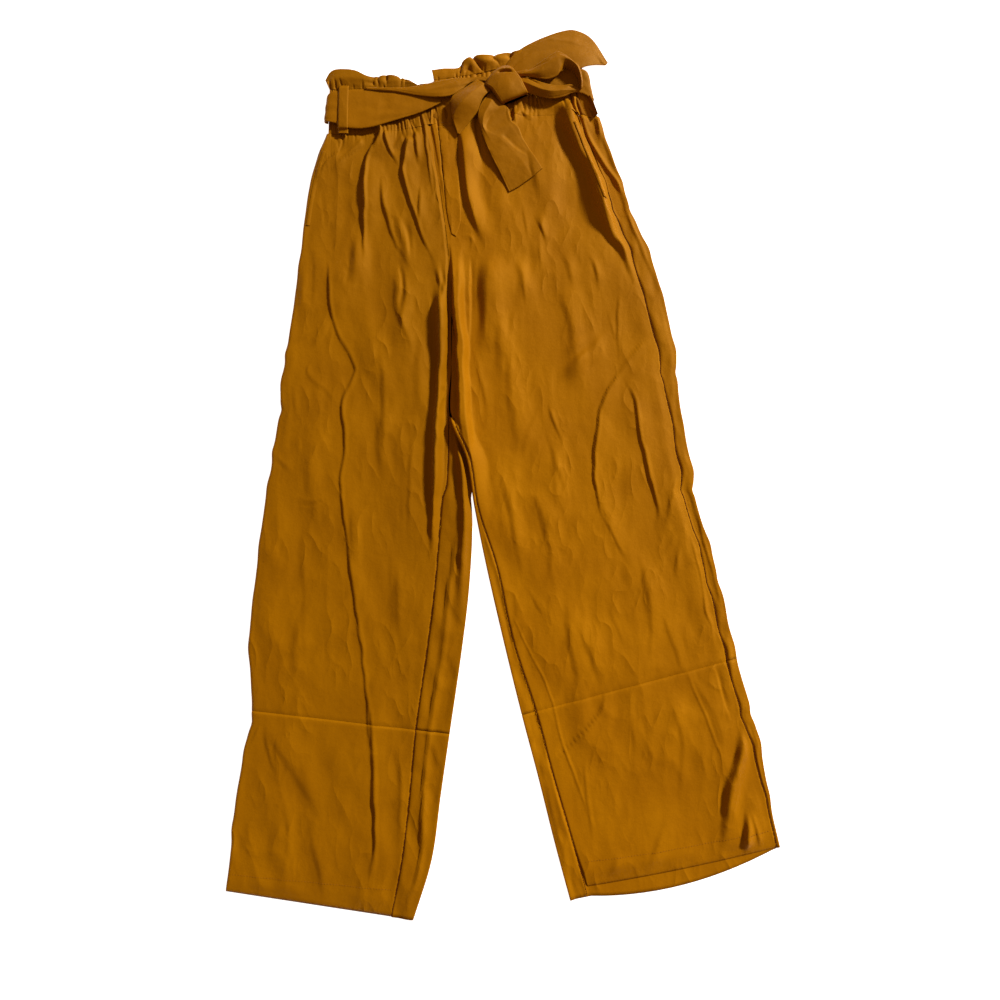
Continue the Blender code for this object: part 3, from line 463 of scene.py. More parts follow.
# Creases of the sash and bow.
SASH_CREASES = {
    "bow_loop_upper_limb": (
        (-0.8, -0.5, 1.4, 3, ((32, 553), (54, 560), (70, 566))),
    ),
    "bow_loop_lower_limb": (
        (-1.6, -0.8, 2, 3, ((34, 545), (46, 537), (56, 531))),
        (-1.6, -1.2, 2.5, 3.5, ((86, 532), (97, 531))),
    ),
    "tail_up": (
        (-1, -0.4, 2, 6, ((14, 558), (36, 578), (58, 590))),
        (0.8, 0.6, 4, 12, ((60, 600), (92, 596), (118, 588))),
    ),
    "tail_down": (
        (-1.2, -0.8, 4, 14, ((2, 470), (22, 452), (44, 440))),
    ),
    "sash_front_right": (
        (-0.8, -0.8, 12, 14, ((-160, 526), (-148, 500))),
        (0.5, 0.5, 1, 1.6, ((-204, 526), (-204, 508))),
    ),
    "sash_flap_right": (
        (-1.2, -0.6, 3, 4, ((-22, 543), (-44, 538), (-62, 532), (-84, 530))),
        (0.8, 0.6, 3, 6, ((-50, 542), (-80, 534), (-110, 530))),
    ),
}

# The upper edges of the casing and of the ruffle.
CASING_TOP = {
    "right": ((-221, 534), (-180, 534), (-140, 535), (-99, 538)),
    "left": ((-86, 548), (-30, 556), (26, 569), (70, 573), (104, 574)),
    "back": ((-220, 534), (-99, 538), (-30, 556), (26, 569), (104, 574)),
}
RUFFLE_TOP = {
    "right": ((-227, 547), (-220, 557), (-209, 560), (-188, 558), (-169, 551), (-143, 553),
              (-122, 548), (-109, 541)),
    "left": ((-89, 562), (-72, 564), (-55, 565), (-48, 573), (-34, 579), (-17, 579), (1, 582),
             (22, 586), (60, 590), (108, 588)),
    "back": ((-222, 551), (-190, 552), (-150, 548), (-102, 545), (-60, 558), (0, 577), (60, 583),
             (104, 582)),
}
WAIST_PINCH = {"right": 3.5, "left": 0.5, "back": 1.0}    # how far its left end is drawn in
WAIST_COLUMNS = {"right": 170, "left": 240, "back": 330}    # points along casing and ruffle
GATHERS = {"right": 27, "left": 33, "back": 56}
BACK_WAVES = 15
# By the share up a band: its height, and the size of its gathers and of its rolls or waves.
BAND_LEVELS = {
    ("casing", "front"): ((0, 4.5, 0, 0), (0.1, 4.8, 0, 0), (0.25, 5.5, 0, 0), (0.4, 5.9, 0, 0),
                          (1, 6.0, 0, 0)),
    ("casing", "back"): ((0, 0.1, 0, 0), (0.05, 0.1, 0, 0), (0.16, 3.0, 0.9, 0), (1, 3.0, 0.9, 0)),
    ("ruffle", "front"): ((0, 5.8, 0.3, 0.5), (0.2, 6.0, 0.2, 0.8), (0.5, 5.4, 0.1, 1.0),
                          (1, 4.6, 0, 1.1)),
    ("ruffle", "back"): ((0, 3.0, 0.8, 0.3), (0.5, 1.8, 0.5, 1.8), (1, 0.6, 0.2, 3.6)),
}

# Flat pieces of the sash: the two edges of the ribbon, in order along it.
SASH_BACK = (
    (-218.5, 529, 1.3, -220, 490, 1.3),
    (-150, 530, 1.3, -150, 491, 1.3),
    (-60, 546, 1.3, -60, 508, 1.3),
    (30, 562, 1.3, 30, 519, 1.3),
    (106, 563, 1.3, 114, 520, 1.3),
)
SASH_FRONT_RIGHT = (
    (-220.5, 523, 2.7, -222.5, 490, 2.7),
    (-222.7, 523, 4.2, -225.6, 490, 4.2),
    (-222.7, 525, 7.4, -225.6, 490, 7.4),
    (-218.5, 529, 8.9, -221, 489, 8.9),
    (-209, 531, 8.8, -209, 486, 8.8),
    (-193, 533, 8.8, -193, 480, 8.8),
    (-168, 533, 8.8, -168, 481, 8.8),
    (-135, 533, 8.8, -135, 491, 8.8),
    (-102, 530, 8.8, -102, 502, 8.8),
    (-76, 525, 8.8, -76, 515, 8.8),
)
SASH_FLAP_RIGHT = (
    (-174, 535, 10.5, -174, 532.5, 10.5),
    (-149, 534.5, 10.5, -149, 530, 10.5),
    (-127, 534.5, 10.6, -127, 527.5, 10.5),
    (-104, 536.5, 11.5, -102, 522.5, 11.5),
    (-84, 541, 12.5, -79, 519.5, 13.5),
    (-62, 545, 12.5, -62, 522, 14.0),
    (-49, 547, 11.5, -49, 531.5, 12.5),
    (-37.5, 548.5, 10, -39, 541, 9.8),
    (-26, 550, 9.4, -27, 544.5, 9.4),
    (-14, 550, 9, -15, 544, 9),
)
SASH_FRONT_LEFT = (
    (110.5, 556, 2.7, 118, 521, 2.7),
    (113.5, 555, 4.2, 120.3, 520, 4.2),
    (113.5, 556, 7.4, 120.6, 520, 7.4),
    (109, 560, 8.9, 117, 521, 8.9),
    (98, 563, 8.8, 104, 528, 8.8),
    (70, 563, 8.8, 72, 531, 8.8),
    (44, 558, 8.8, 46, 531, 8.8),
)

# Folded pieces of the bow: rows of points across the ribbon, top side, in order along it. The
# ribbon is creased along the inner points.
BOW_LOOP_LOW = (
    ((-30, 545.5, 12), (-20.5, 539, 14), (-9, 530.5, 12)),
    ((-42.5, 535, 14), (-28.5, 528.5, 20), (-15.5, 525, 16)),
    ((-54, 526.5, 15.5), (-38, 519.5, 22.5), (-22, 516.5, 16.5)),
    ((-62.5, 518.5, 15.5), (-47.5, 509, 22.5), (-25.5, 508.5, 15.5)),
    ((-63, 507.5, 14.5), (-54.5, 501.5, 19.5), (-29, 500, 13.5)),
    ((-62.5, 498.5, 12.5), (-59.5, 494.5, 15), (-38.5, 488.5, 11)),
    ((-60.5, 488.5, 10.5), (-59, 487.5, 11.5), (-45.5, 480.5, 9.2)),
    ((-55, 474, 8.2), (-54, 473.5, 8.4), (-52, 472.5, 8)),
)
BOW_LOOP_UPPER = (
    ((20, 554.5, 14), (22, 551.5, 14.5), (24.5, 548.5, 14)),
    ((38.5, 557.5, 17), (38.5, 550, 18.5), (38.5, 546.5, 15.5)),
    ((50, 563, 19.5), (50, 551, 21), (50, 543.5, 16.5)),
    ((62, 570.5, 21.5), (61.5, 557.5, 22.8), (61.5, 542, 17.5)),
    ((72.5, 576, 22.5), (72.5, 562.5, 24), (72.5, 545.5, 18.5)),
    ((79.5, 575, 22.5), (79, 566, 24), (77.5, 551, 19)),
    ((87.5, 569.5, 22.5), (86, 564.5, 24), (84.5, 560, 12)),
    ((94.5, 564, 22), (92.5, 561, 24), (90.5, 558.5, 10)),
    ((101.5, 558.5, 20.5), (98.5, 555, 23.8), (96.5, 553.5, 10)),
    ((105, 549, 19.5), (102, 546.5, 22.8), (100, 546, 10)),
    ((106.5, 540, 17), (104, 538, 20.5), (102, 538, 10)),
    ((107, 532.5, 13.2), (104.5, 531, 15.5), (102.5, 531, 10)),
)
BOW_LOOP_LOWER = (
    ((24.5, 550, 12), (25, 543.5, 13), (28.5, 529.5, 12)),
    ((38.5, 545, 15), (37.5, 535, 18), (38.5, 525.5, 12.5)),
    ((56, 538, 16.5), (54, 527.5, 19), (55, 520, 13)),
    ((69.5, 535.5, 15.5), (68, 525.5, 18.5), (68.5, 518, 13)),
    ((81.5, 535.5, 15.5), (81, 527.5, 17), (82, 521, 12.5)),
    ((92.5, 536.5, 15), (92, 529, 14.5), (92, 526, 12)),
    ((103, 531.5, 12.6), (103, 529.5, 12.8), (102.5, 528.5, 12.2)),
)
TAIL_DOWN = (
    ((-10.5, 532, 10), (-8, 529, 10), (-4, 525, 10), (0, 522.5, 10)),
    ((-20, 518.5, 13.5), (-10.5, 517.5, 15), (0.5, 512, 13), (4.5, 511.5, 12)),
    ((-25.5, 508.5, 14.5), (-14, 507, 17), (-3, 504, 13), (10.5, 505.5, 13)),
    ((-28, 498, 15), (-19, 496.5, 17.5), (-10.5, 497, 12.5), (11.5, 498.5, 13)),
    ((-28, 489.5, 14.5), (-21.5, 487.5, 16.5), (-15.5, 488, 12.5), (15.5, 488, 12.5)),
    ((-25.5, 480.5, 13.5), (-21, 478, 15), (-16.5, 477, 13), (24, 480.5, 11.5)),
    ((-20, 464, 12), (-13, 464, 12.5), (0, 465, 12.2), (30, 467, 9)),
    ((-11, 443, 10), (0, 444.5, 10.5), (19, 446, 10.5), (40, 450, 8)),
    ((-0.5, 422, 8), (13, 426, 8.5), (32, 431, 9.5), (48, 437, 7)),
    ((11.5, 396, 6), (24.5, 403.5, 6.5), (41, 415, 8), (54.5, 426, 6)),
)
KNOT_BAND = (
    ((-18, 542.5, 9.6), (-9, 555.5, 9.6), (0, 564, 9.6)),
    ((-19.5, 539, 14), (-9, 553.5, 15), (4, 563, 15)),
    ((-18.5, 536, 17.5), (-7.5, 550, 19.5), (10.5, 560, 19)),
    ((-15.5, 533, 19.5), (-1.5, 544.5, 22), (16, 555.5, 21.5)),
    ((-11, 529, 20.5), (5, 536.5, 23.3), (21.5, 548, 22.5)),
    ((-6.5, 523, 20.5), (10, 530, 23.3), (27, 540.5, 22)),
    ((-2, 516, 19.5), (14.5, 522.5, 22), (31.5, 532, 20.5)),
    ((2, 511.5, 17.5), (17.5, 517.5, 19.5), (35, 526, 18)),
    ((4.5, 512, 14), (18.5, 516.5, 15.5), (36, 525, 14.5)),
    ((7.5, 515, 9.8), (19.5, 520.5, 9.8), (33.5, 526, 9.8)),
)
KNOT_SLIT = (6.0, 551.0, 8.0, 1.4, 4.5)     # middle x, y, half its length, half its width, depth
KNOT_FOOT = 9.4        # the knot is solid down to this height
TAIL_UP = (
    (4, 560, 8.8, 16, 548, 8.8),
    (20, 583, 9.7, 42, 557, 10.5),
    (50, 602, 9.0, 68, 564, 11.5),
    (84, 616, 7.0, 99, 560, 11.0),
    (102, 616.5, 5.4, 113, 565, 9.4),
    (121, 606, 3.4, 127, 569.5, 5.0),
    (141, 575, 1.6, 138, 571, 2.0),
)
# Strips on the front: the x and y of the two edges.
FLY_LAP = (
    (-80, 486, -55, 486),
    (-76, 452, -55, 447),
    (-72, 412, -52, 402),
    (-68, 370, -50, 362),
    (-62, 342, -56, 338),
)
# The seam along a pocket mouth, and the width and thickness of the edge beside it.
POCKET_MOUTHS = {
    "right": ((-229, 452), (-238, 420), (-244, 385), (-248, 352)),
    "left": ((99, 484), (114, 447), (127, 409), (136, 383)),
}
POCKET_WIDTH = 5
POCKET_EDGE = {"right": 0.45, "left": 0.9}
# Belt loops: the middle's x, the y of foot and head, and for the front one the z of both.
FRONT_LOOP = (-202, 474, 538, 7.4, 8.8)
BACK_LOOPS = (("belt_loop_back_right", -150, 489, 530), ("belt_loop_back_left", 60, 514, 562))
LOOP_WIDTH = 13
LOOP_TOP = 10.6
EDGE_LINE = 0.3        # depth of the pressed line along the sash's edges
EDGE_LINE_AT = 2.2     # its distance from them
HEM_STITCH = 20        # height of the stitch line above the front hems
CELL = 2.0             # of the map of the front cloth's height
MAP_CORNER = (-340, -520)


# ---------------------------------------------------------------- curves, noise and creases

def smooth(table, at):
    """Reads the table's rows at fractional row numbers along a curve through the rows."""
    rows = np.asarray(table, float)
    rows = np.vstack((2 * rows[0] - rows[1], rows, 2 * rows[-1] - rows[-2]))
    at = np.clip(np.asarray(at, float), 0, len(rows) - 3)
    low = np.minimum(at.astype(int), len(rows) - 4)
    f = (at - low)[..., None]
    before, start, end, after = (rows[low + k] for k in range(4))
    slope_in = (end - before) / 2
    slope_out = (after - start) / 2
    return (start * (2 * f**3 - 3 * f**2 + 1) + slope_in * (f**3 - 2 * f**2 + f)
            + end * (3 * f**2 - 2 * f**3) + slope_out * (f**3 - f**2))


def ease(value):
    value = np.clip(value, 0, 1)
    return value * value * (3 - 2 * value)


def ramp(value, start, end):
    """Rises softly from 0 at the start to 1 at the end, and the start may be the higher one."""
    return ease((value - start) / (end - start))


def spaced(count, closer):
    """Shares from 0 to 1, closer together at both ends."""
    share = np.linspace(0, 1, count)
    return (1 - closer) * share + closer * (0.5 - 0.5 * np.cos(math.pi * share))


def running(steps):
    """Length run so far at the start and after each step."""
    return np.concatenate(([0], np.cumsum(steps)))


def lengths(line):
    """Length run so far at each point of a flat line."""
    return running(np.hypot(*np.diff(line, axis=0).T))


def line_points(table, count):
    """Evenly spaced points along the smooth line through a table's points."""
    fine = smooth(table, np.linspace(0, len(table) - 1, 20 * len(table)))
    done = lengths(fine)
    at = np.linspace(0, done[-1], count)
    return np.column_stack([np.interp(at, done, column) for column in fine.T])


def noise(x, y, size_x, size_y, seed):
    """Soft random height from -1 to 1, with cells of the given size."""
    table = np.random.default_rng(seed).uniform(-1, 1, (NOISE_CELLS, NOISE_CELLS))
    u = np.asarray(x, float) / size_x + NOISE_START[0]
    v = np.asarray(y, float) / size_y + NOISE_START[1]
    iu, iv = np.floor(u).astype(int), np.floor(v).astype(int)
    fu, fv = ease(u - iu), ease(v - iv)

    def row(b):
        left, right = (table[a % NOISE_CELLS, b % NOISE_CELLS] for a in (iu, iu + 1))
        return left * (1 - fu) + right * fu

    return row(iv) * (1 - fv) + row(iv + 1) * fv


def uneven(value, size, seed):
    """Noise along one measure."""
    return noise(value, 0 * value, size, 1, seed)


def ridges(x, y, size_x, size_y, seed):
    """Noise with sharp crests."""
    return 1 - 2 * np.abs(noise(x, y, size_x, size_y, seed))


def patches(x, y, level, size_x, size_y, seed):
    """Shares from 0 to 1 in soft patches, more of them at a higher level."""
    return ease(level + noise(x, y, size_x, size_y, seed))


def undulation(x, y, seed):
    """The cloth's own unevenness: waves longer down the leg than across it, and crumples."""
    bent = x + 9 * noise(x, y, 60, 80, seed + 9)
    hip = 1 + 0.5 * ramp(y, 60, 220)
    shin = ramp(y, -60, -300)
    broad = 1.9 * noise(bent, y, 42, 110, seed) + 1.35 * noise(bent + 0.25 * y, y, 23, 58, seed + 1)
    small = 0.42 * noise(bent - 0.2 * y, y, 11, 26, seed + 2) + 0.12 * noise(x, y, 5, 10, seed + 3)
    crumple = (ridges(bent + 0.4 * y, y - 0.3 * x, 30, 38, seed + 4)
               * patches(x, y, 0.5, 60, 70, seed + 5))
    crumple = crumple + 0.55 * (ridges(bent - 0.5 * y, y, 17, 26, seed + 6)
                                * patches(x, y, 0.4, 50, 60, seed + 7))
    lines = (ridges(x + 6 * noise(x, y, 40, 50, seed + 8), y, 5.5, 48, seed + 10)
             * patches(x, y, 0.55, 45, 80, seed + 11))
    return hip * broad + small + (0.35 + 0.55 * shin) * crumple + 0.05 * lines


def crease(x, y, first, last, steep, soft, line, number):
    """One ridge or valley along a line, uneven along its length."""
    marked = [tuple(point) + (1.0,) if len(point) == 2 else tuple(point) for point in line]
    fine = smooth(marked, np.linspace(0, len(line) - 1, 5 * len(line)))
    shares, fine = fine[:, 2], fine[:, :2]
    reach = 1.5 * steep + 1.4 * soft + 2
    result = np.zeros(x.shape)
    low, high = fine.min(axis=0) - reach, fine.max(axis=0) + reach
    near = (x > low[0]) & (x < high[0]) & (y > low[1]) & (y < high[1])
    if not near.any():
        return result
    px, py = x[near], y[near]
    px = px + WANDER * noise(px, py, WANDER_SIZE, WANDER_SIZE, 900 + number)
    start, end = fine[:-1], fine[1:]
    run = end - start
    length = np.hypot(run[:, 0], run[:, 1])
    done = running(length)
    dx = px[:, None] - start[:, 0]
    dy = py[:, None] - start[:, 1]
    along = np.clip((dx * run[:, 0] + dy * run[:, 1]) / length**2, 0, 1)
    away = np.hypot(dx - along * run[:, 0], dy - along * run[:, 1])
    pick = np.argmin(away, axis=1)
    row = np.arange(len(px))
    side = (run[pick, 0] * dy[row, pick] - run[pick, 1] * dx[row, pick]) / length[pick]
    distance = np.where(side < 0, -away[row, pick], away[row, pick])
    place = done[pick] + along[row, pick] * length[pick]
    taper = min(TAPER, done[-1] / 2.2)
    at_seam = line[0][1] > SEAM_LEVEL and steep <= NARROW
    start_taper = SEAM_TAPER if at_seam else min(START_TAPER, taper)
    ends = ease(place / start_taper) * ease((done[-1] - place) / taper)
    height = (first + (last - first) * place / done[-1]) * np.interp(place, done, shares)
    sway = 1 + SWAY * uneven(place, SWAY_SIZE, 300 + number)
    distance = distance - CREST_SHARE * steep
    lip = ease(1 - distance / min(soft, LIP_WIDTH))
    lip_share = LIP * ramp(steep, 9, 4)
    right = (1 - lip_share) * ease(1 - distance / (soft * sway)) + lip_share * lip
    across = np.where(distance < 0, ease(1 + distance / (steep * sway)), right)
    result[near] = height * ends * sway * across
    return result


def add_creases(height, x, y, table, number, share=1):
    """Adds a table's creases to a height. A row's number decides how it is uneven."""
    for step, row in enumerate(table):
        height = height + crease(x, y, *row, number + step) * share
    return height


def relief(x, y, table, seed):
    """The cloth's unevenness and a table's creases."""
    return add_creases(undulation(x, y, seed), x, y, table, seed)


def gather_wave(share, count, seed):
    """Rounded gathers from 0 to 1 with sharp valleys, uneven in pitch and depth."""
    phase = count * share + 0.45 * np.sin(19 * share + seed) + 0.3 * np.sin(43 * share + 2 * seed)
    phase = phase + 1.1 * uneven(share, 3.3 / count, seed + 60)
    cell = np.floor(phase).astype(int)
    depth = np.random.default_rng(seed).uniform(0.45, 1.15, 400)[(cell + 20) % 400]
    return depth * np.abs(np.sin(math.pi * (phase - cell)))**0.8


# ---------------------------------------------------------------- meshes

def placed(name, data):
    thing = bpy.data.objects.new(name, data)
    bpy.context.scene.collection.objects.link(thing)
    return thing


def add_mesh(name, points, quads, look, node):
    """A smooth mesh from points in millimetres, put on the part in place of a node."""
    points = np.array(points, float)
    points[:, 2] = np.maximum(points[:, 2], 0)
    points = (points - (CENTRE_X, CENTRE_Y, 0)) * MM
    mesh = bpy.data.meshes.new(name)
    mesh.vertices.add(len(points))
    mesh.vertices.foreach_set("co", points.astype(np.float32).ravel())
    quads = np.asarray(quads, np.int32)
    mesh.loops.add(quads.size)
    mesh.loops.foreach_set("vertex_index", quads.ravel())
    mesh.polygons.add(len(quads))
    starts = np.arange(0, quads.size, quads.shape[1], dtype=np.int32)
    mesh.polygons.foreach_set("loop_start", starts)
    mesh.update(calc_edges=True)
    mesh.validate()
    mesh.shade_smooth()
    mesh.materials.append(look)
    thing = placed(name, mesh)
    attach(thing, "root")
    if node:
        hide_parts(node)
    return thing


def wall(name, upper, lower, look, node, present=None, crisp=False, turn=False):
    """A closed shell between two grids, without the cells that aren't present.

    The rim of a crisp one has points of its own, so it isn't shaded round. The grids are turned
    where their columns run the other way, so that the shell's faces look out.
    """
    rows, columns = upper.shape[:2]
    if present is None:
        present = np.ones((rows - 1, columns - 1), bool)
    if turn:
        upper, lower, present = upper[:, ::-1], lower[:, ::-1], present[:, ::-1]
    count = rows * columns
    index = np.arange(count).reshape(rows, columns)
    a, b, c, d = index[:-1, :-1], index[1:, :-1], index[1:, 1:], index[:-1, 1:]
    top = np.stack((a, b, c, d), -1)[present]
    under = np.stack((d, c, b, a), -1)[present] + count
    sides = []
    grown = np.zeros((rows + 1, columns + 1), bool)
    grown[1:-1, 1:-1] = present
    own = 2 * count if crisp else 0
    for start, end, shift in ((a, b, (0, -1)), (b, c, (1, 0)), (c, d, (0, 1)), (d, a, (-1, 0))):
        beside = grown[1 + shift[0]:rows + shift[0], 1 + shift[1]:columns + shift[1]]
        free = present & ~beside
        s, e = start[free], end[free]
        sides.append(np.stack((e, s, s + count, e + count), -1) + own)
    quads = np.vstack([top, under] + sides)
    points = np.vstack((upper.reshape(-1, 3), lower.reshape(-1, 3)))
    if crisp:
        points = np.vstack((points, points))
    used = np.unique(quads)
    renumber = np.zeros(len(points), np.int64)
    renumber[used] = np.arange(len(used))
    return add_mesh(name, points[used], renumber[quads], look, node)


def thickened(grid, thickness):
    """The grid moved by its thickness along its normals."""
    along = np.gradient(grid, axis=0)
    across = np.gradient(grid, axis=1)
    normal = np.cross(along, across)
    normal /= np.maximum(np.linalg.norm(normal, axis=-1, keepdims=True), 1e-9)
    return grid + normal * thickness


# ---------------------------------------------------------------- materials

def fill(tree, made, inputs):
    """Sets a node's inputs, or links those that are given as another node's socket."""
    for key, value in inputs.items():
        if isinstance(value, bpy.types.NodeSocket):
            tree.links.new(value, made.inputs[key])
        else:
            made.inputs[key].default_value = value
    return made


def node(tree, kind, inputs, **settings):
    made = tree.nodes.new(kind)
    for key, value in settings.items():
        setattr(made, key, value)
    return fill(tree, made, inputs)


def new_material(name):
    made = bpy.data.materials.new(name)
    made.use_nodes = True
    return made, made.node_tree, made.node_tree.nodes["Principled BSDF"]


def crinkles(tree, where, before, strength):
    """Small sharp-crested creases, in patches."""
    stretched = node(tree, "ShaderNodeVectorMath", {0: where, 1: CRINKLE_SCALE},
                     operation="MULTIPLY").outputs["Vector"]
    crests = node(tree, "ShaderNodeTexNoise",
                  {"Scale": 1.0, "Detail": 1.0, "Roughness": 0.45, "Lacunarity": 2.1,
                   "Offset": 0.9, "Gain": 1.2, "Vector": stretched},
                  noise_type="RIDGED_MULTIFRACTAL")
    places = node(tree, "ShaderNodeTexNoise", {"Scale": 0.4, "Detail": 1.0, "Vector": stretched})
    chosen = node(tree, "ShaderNodeMapRange",
                  {"From Min": 0.42, "From Max": 0.62, "Value": places.outputs["Fac"]})
    amount = node(tree, "ShaderNodeMath", {0: crests.outputs["Fac"], 1: chosen.outputs["Result"]},
                  operation="MULTIPLY")
    return node(tree, "ShaderNodeBump",
                {"Strength": strength, "Distance": CRINKLE_DEPTH,
                 "Height": amount.outputs["Value"], "Normal": before.outputs["Normal"]})


def cloth_material(name, shades, patch_size, roughness=0.62, crackle=0.8):
    """Plain weave with a low sheen: patches of two shades, flecks, threads and crinkles."""
    made, tree, shader = new_material(name)
    where = node(tree, "ShaderNodeTexCoord", {}).outputs["Object"]
    shade = node(tree, "ShaderNodeTexNoise",
                 {"Scale": 1 / patch_size, "Detail": 3.0, "Roughness": 0.55, "Vector": where})
    spread = node(tree, "ShaderNodeMapRange",
                  {"From Min": 0.36, "From Max": 0.64, "Value": shade.outputs["Fac"]})
    dark, light = shades
    ground = node(tree, "ShaderNodeMix",
                  {6: (*dark, 1), 7: (*light, 1), 0: spread.outputs["Result"]}, data_type="RGBA")
    fleck = node(tree, "ShaderNodeTexNoise", {"Scale": 900.0, "Detail": 2.0, "Vector": where})
    fleck = node(tree, "ShaderNodeMapRange",
                 {"To Min": 0.90, "To Max": 1.10, "Value": fleck.outputs["Fac"]})
    tinted = node(tree, "ShaderNodeVectorMath",
                  {0: ground.outputs[2], "Scale": fleck.outputs["Result"]}, operation="SCALE")
    warp, weft = (node(tree, "ShaderNodeTexWave",
                       {"Scale": 520.0, "Distortion": 1.2, "Detail": 1.0, "Vector": where},
                       bands_direction=way).outputs["Fac"] for way in "XY")
    woven = node(tree, "ShaderNodeMath", {0: warp, 1: weft}, operation="ADD")
    threads = node(tree, "ShaderNodeBump",
                   {"Strength": 0.35, "Distance": 0.00008, "Height": woven.outputs["Value"]})
    rumple = node(tree, "ShaderNodeTexNoise",
                  {"Scale": 190.0, "Detail": 3.0, "Roughness": 0.6, "Vector": where})
    soft = node(tree, "ShaderNodeBump",
                {"Strength": 0.5, "Distance": 0.0006, "Height": rumple.outputs["Fac"],
                 "Normal": threads.outputs["Normal"]})
    fill(tree, shader, {
        "Roughness": roughness, "IOR": 1.45, "Specular IOR Level": 0.28,
        "Specular Tint": (1.0, 0.55, 0.04, 1), "Sheen Weight": 0.07, "Sheen Roughness": 0.4,
        "Sheen Tint": (1.0, 0.5, 0.04, 1), "Base Color": tinted.outputs["Vector"],
        "Normal": crinkles(tree, where, soft, crackle).outputs["Normal"]})
    return made


def plain_material(name, colour, glow=0.0, roughness=0.8):
    made, tree, shader = new_material(name)
    fill(tree, shader, {
        "Base Color": (*colour, 1), "Roughness": roughness, "Specular IOR Level": 0.1,
        "Emission Color": (*colour, 1), "Emission Strength": glow})
    return made


LOOKS = {
    "right": cloth_material("cloth_right", OCHRE, 0.085),
    # painted light: the wearer's left leg, its back strips, the fly lap and the left pocket edge
    # take the lighter copy of the ochre
    "left": cloth_material("cloth_left", PAINTED_LIT_OCHRE, 0.085),
    "back": cloth_material("cloth_back", OCHRE, 0.085),
    "inside": cloth_material("cloth_inside", INSIDE_OCHRE, 0.07, 0.75),
    "sash": cloth_material("sash_cloth", SASH_OCHRE, 0.06, 0.55, 0.25),
    "thread": plain_material("sewing_thread", (0.235, 0.082, 0.002), roughness=0.6),
    # painted shade: the seams' stitches are far darker than the cloth and its thread, and stand in
    # for the shadow in each seam's groove
    "seam": plain_material("sewing_seam", (0.085, 0.017, 0.001)),
}


# ---------------------------------------------------------------- legs

def rise(y):
    """Height of the front cloth without its creases, more at the waist than over the legs."""
    return LEG_HEIGHT + (WAIST_HEIGHT - LEG_HEIGHT) * ramp(np.asarray(y), *WAIST_RISE)


def level_marks(table, first, last, pitch):
    """Fractional row numbers of a leg's table at which its levels lie a pitch apart."""
    fine = np.linspace(first, last, 60 * (last - first) + 1)
    rows = smooth(table, fine)
    done = running(np.abs(np.diff((rows[:, 1] + rows[:, 3]) / 2)))
    return np.interp(np.linspace(0, done[-1], max(4, int(done[-1] / pitch))), done, fine)


def fork_close(y):
    """The right leg's edge tucks in against the left leg between the crotch and the fork."""
    return FORK_TUCK * ramp(y, 0, 18) * ramp(y, 112, 96)


def outline_bumps(side, y):
    """Small waves of a leg's outer edge, from the listed places where it bulges."""
    total = 0.7 * uneven(y, 26, OUTLINE_SEEDS[side])
    for place, height, reach in OUTLINE_BUMPS[side]:
        total = total + height * np.exp(-((y - place) / reach) ** 2)
    return total if side == "left" else -total


def leg_values(side, first, last, pitch, layer="front"):
    """The columns of a leg's table at levels between two of its rows, and the leg's width."""
    marks = level_marks(LEGS[side], first, last, pitch)
    values = dict(zip(LEG_COLUMNS, smooth(LEGS[side], marks).T))
    if side == "right":
        values["inner_x"] = values["inner_x"] + fork_close(values["inner_y"])
    values["outer_x"] = values["outer_x"] + outline_bumps(side, values["outer_y"])
    trim = np.where(marks == first, -(SHIN_GAP[layer] if first == SHIN_ROW else GAP) / 2, 0)
    trim = trim + np.where(marks == last, (SHIN_GAP[layer] if last == SHIN_ROW else GAP) / 2, 0)
    values["outer_y"] = values["outer_y"] + trim
    values["inner_y"] = values["inner_y"] + trim
    values["width"] = np.hypot(values["inner_x"] - values["outer_x"],
                               values["inner_y"] - values["outer_y"])
    values["marks"] = marks
    return values


def leg_plane(values, across, top_bow, hem_bow):
    """The x and y of places across a leg. The top and the hem may be bowed."""
    share = across / values["width"][:, None]
    x, y = (values["outer_" + axis][:, None]
            + share * (values["inner_" + axis] - values["outer_" + axis])[:, None]
            for axis in "xy")
    between = values["width"] - values["side_inset"] - values["inseam_inset"]
    inside = np.clip((across - values["side_inset"][:, None]) / between[:, None], 0, 1)
    at_top = 1 - ease(values["marks"])[:, None]
    at_hem = ease(values["marks"] - (HEM_ROW - 1))[:, None]
    return x, y + bow(top_bow, share) * at_top + bow(hem_bow, inside) * at_hem


def bow(height, share):
    return height * 4 * share * (1 - share)


def seam_level(side, share):
    """The casing seam's y, by the share from the leg's outer edge."""
    _, outer_y, _, inner_y = LEGS[side][0][:4]
    return outer_y + share * (inner_y - outer_y) + bow(TOP_BOW[side], share)


def gap_edges(y):
    """The x of the centre gap's edges, right and left."""
    table = dict(zip(GAP_COLUMNS, np.array(CENTRE_GAP[::-1], float).T))
    return (np.interp(y, table["y"], table[edge]) for edge in GAP_COLUMNS[1:])


def centre_gap(x, y):
    """Share of its height that the cloth keeps beside the gap: 0 on the gap's floor."""
    right_edge, left_edge = gap_edges(y)
    right_edge = right_edge + 0.8 * uneven(y, 18, 401)
    left_edge = left_edge + 0.8 * uneven(y, 15, 402)
    outside = np.maximum(right_edge - x, x - left_edge)
    return ease(0.04 + outside / GAP_ROLL)


def edge_lift(side, y):
    """The left leg's inner edge stands up beside the fork."""
    return 0 * y if side == "right" else FORK_LIFT * ramp(y, -60, 70)


def centre_bank(x, y):
    """The left leg's cloth stands up beside the centre gap and falls away again beyond it."""
    _, left_edge = gap_edges(y)
    from_gap = x - left_edge
    beyond = from_gap - BANK_WIDTH - 2 * uneven(y, 30, 405)
    top = ease(0.1 + from_gap / 3) * (1 - ease(beyond / BANK_WIDTH))
    return BANK_LIFT * ramp(y, -40, 70) * ramp(y, 335, 225) * top


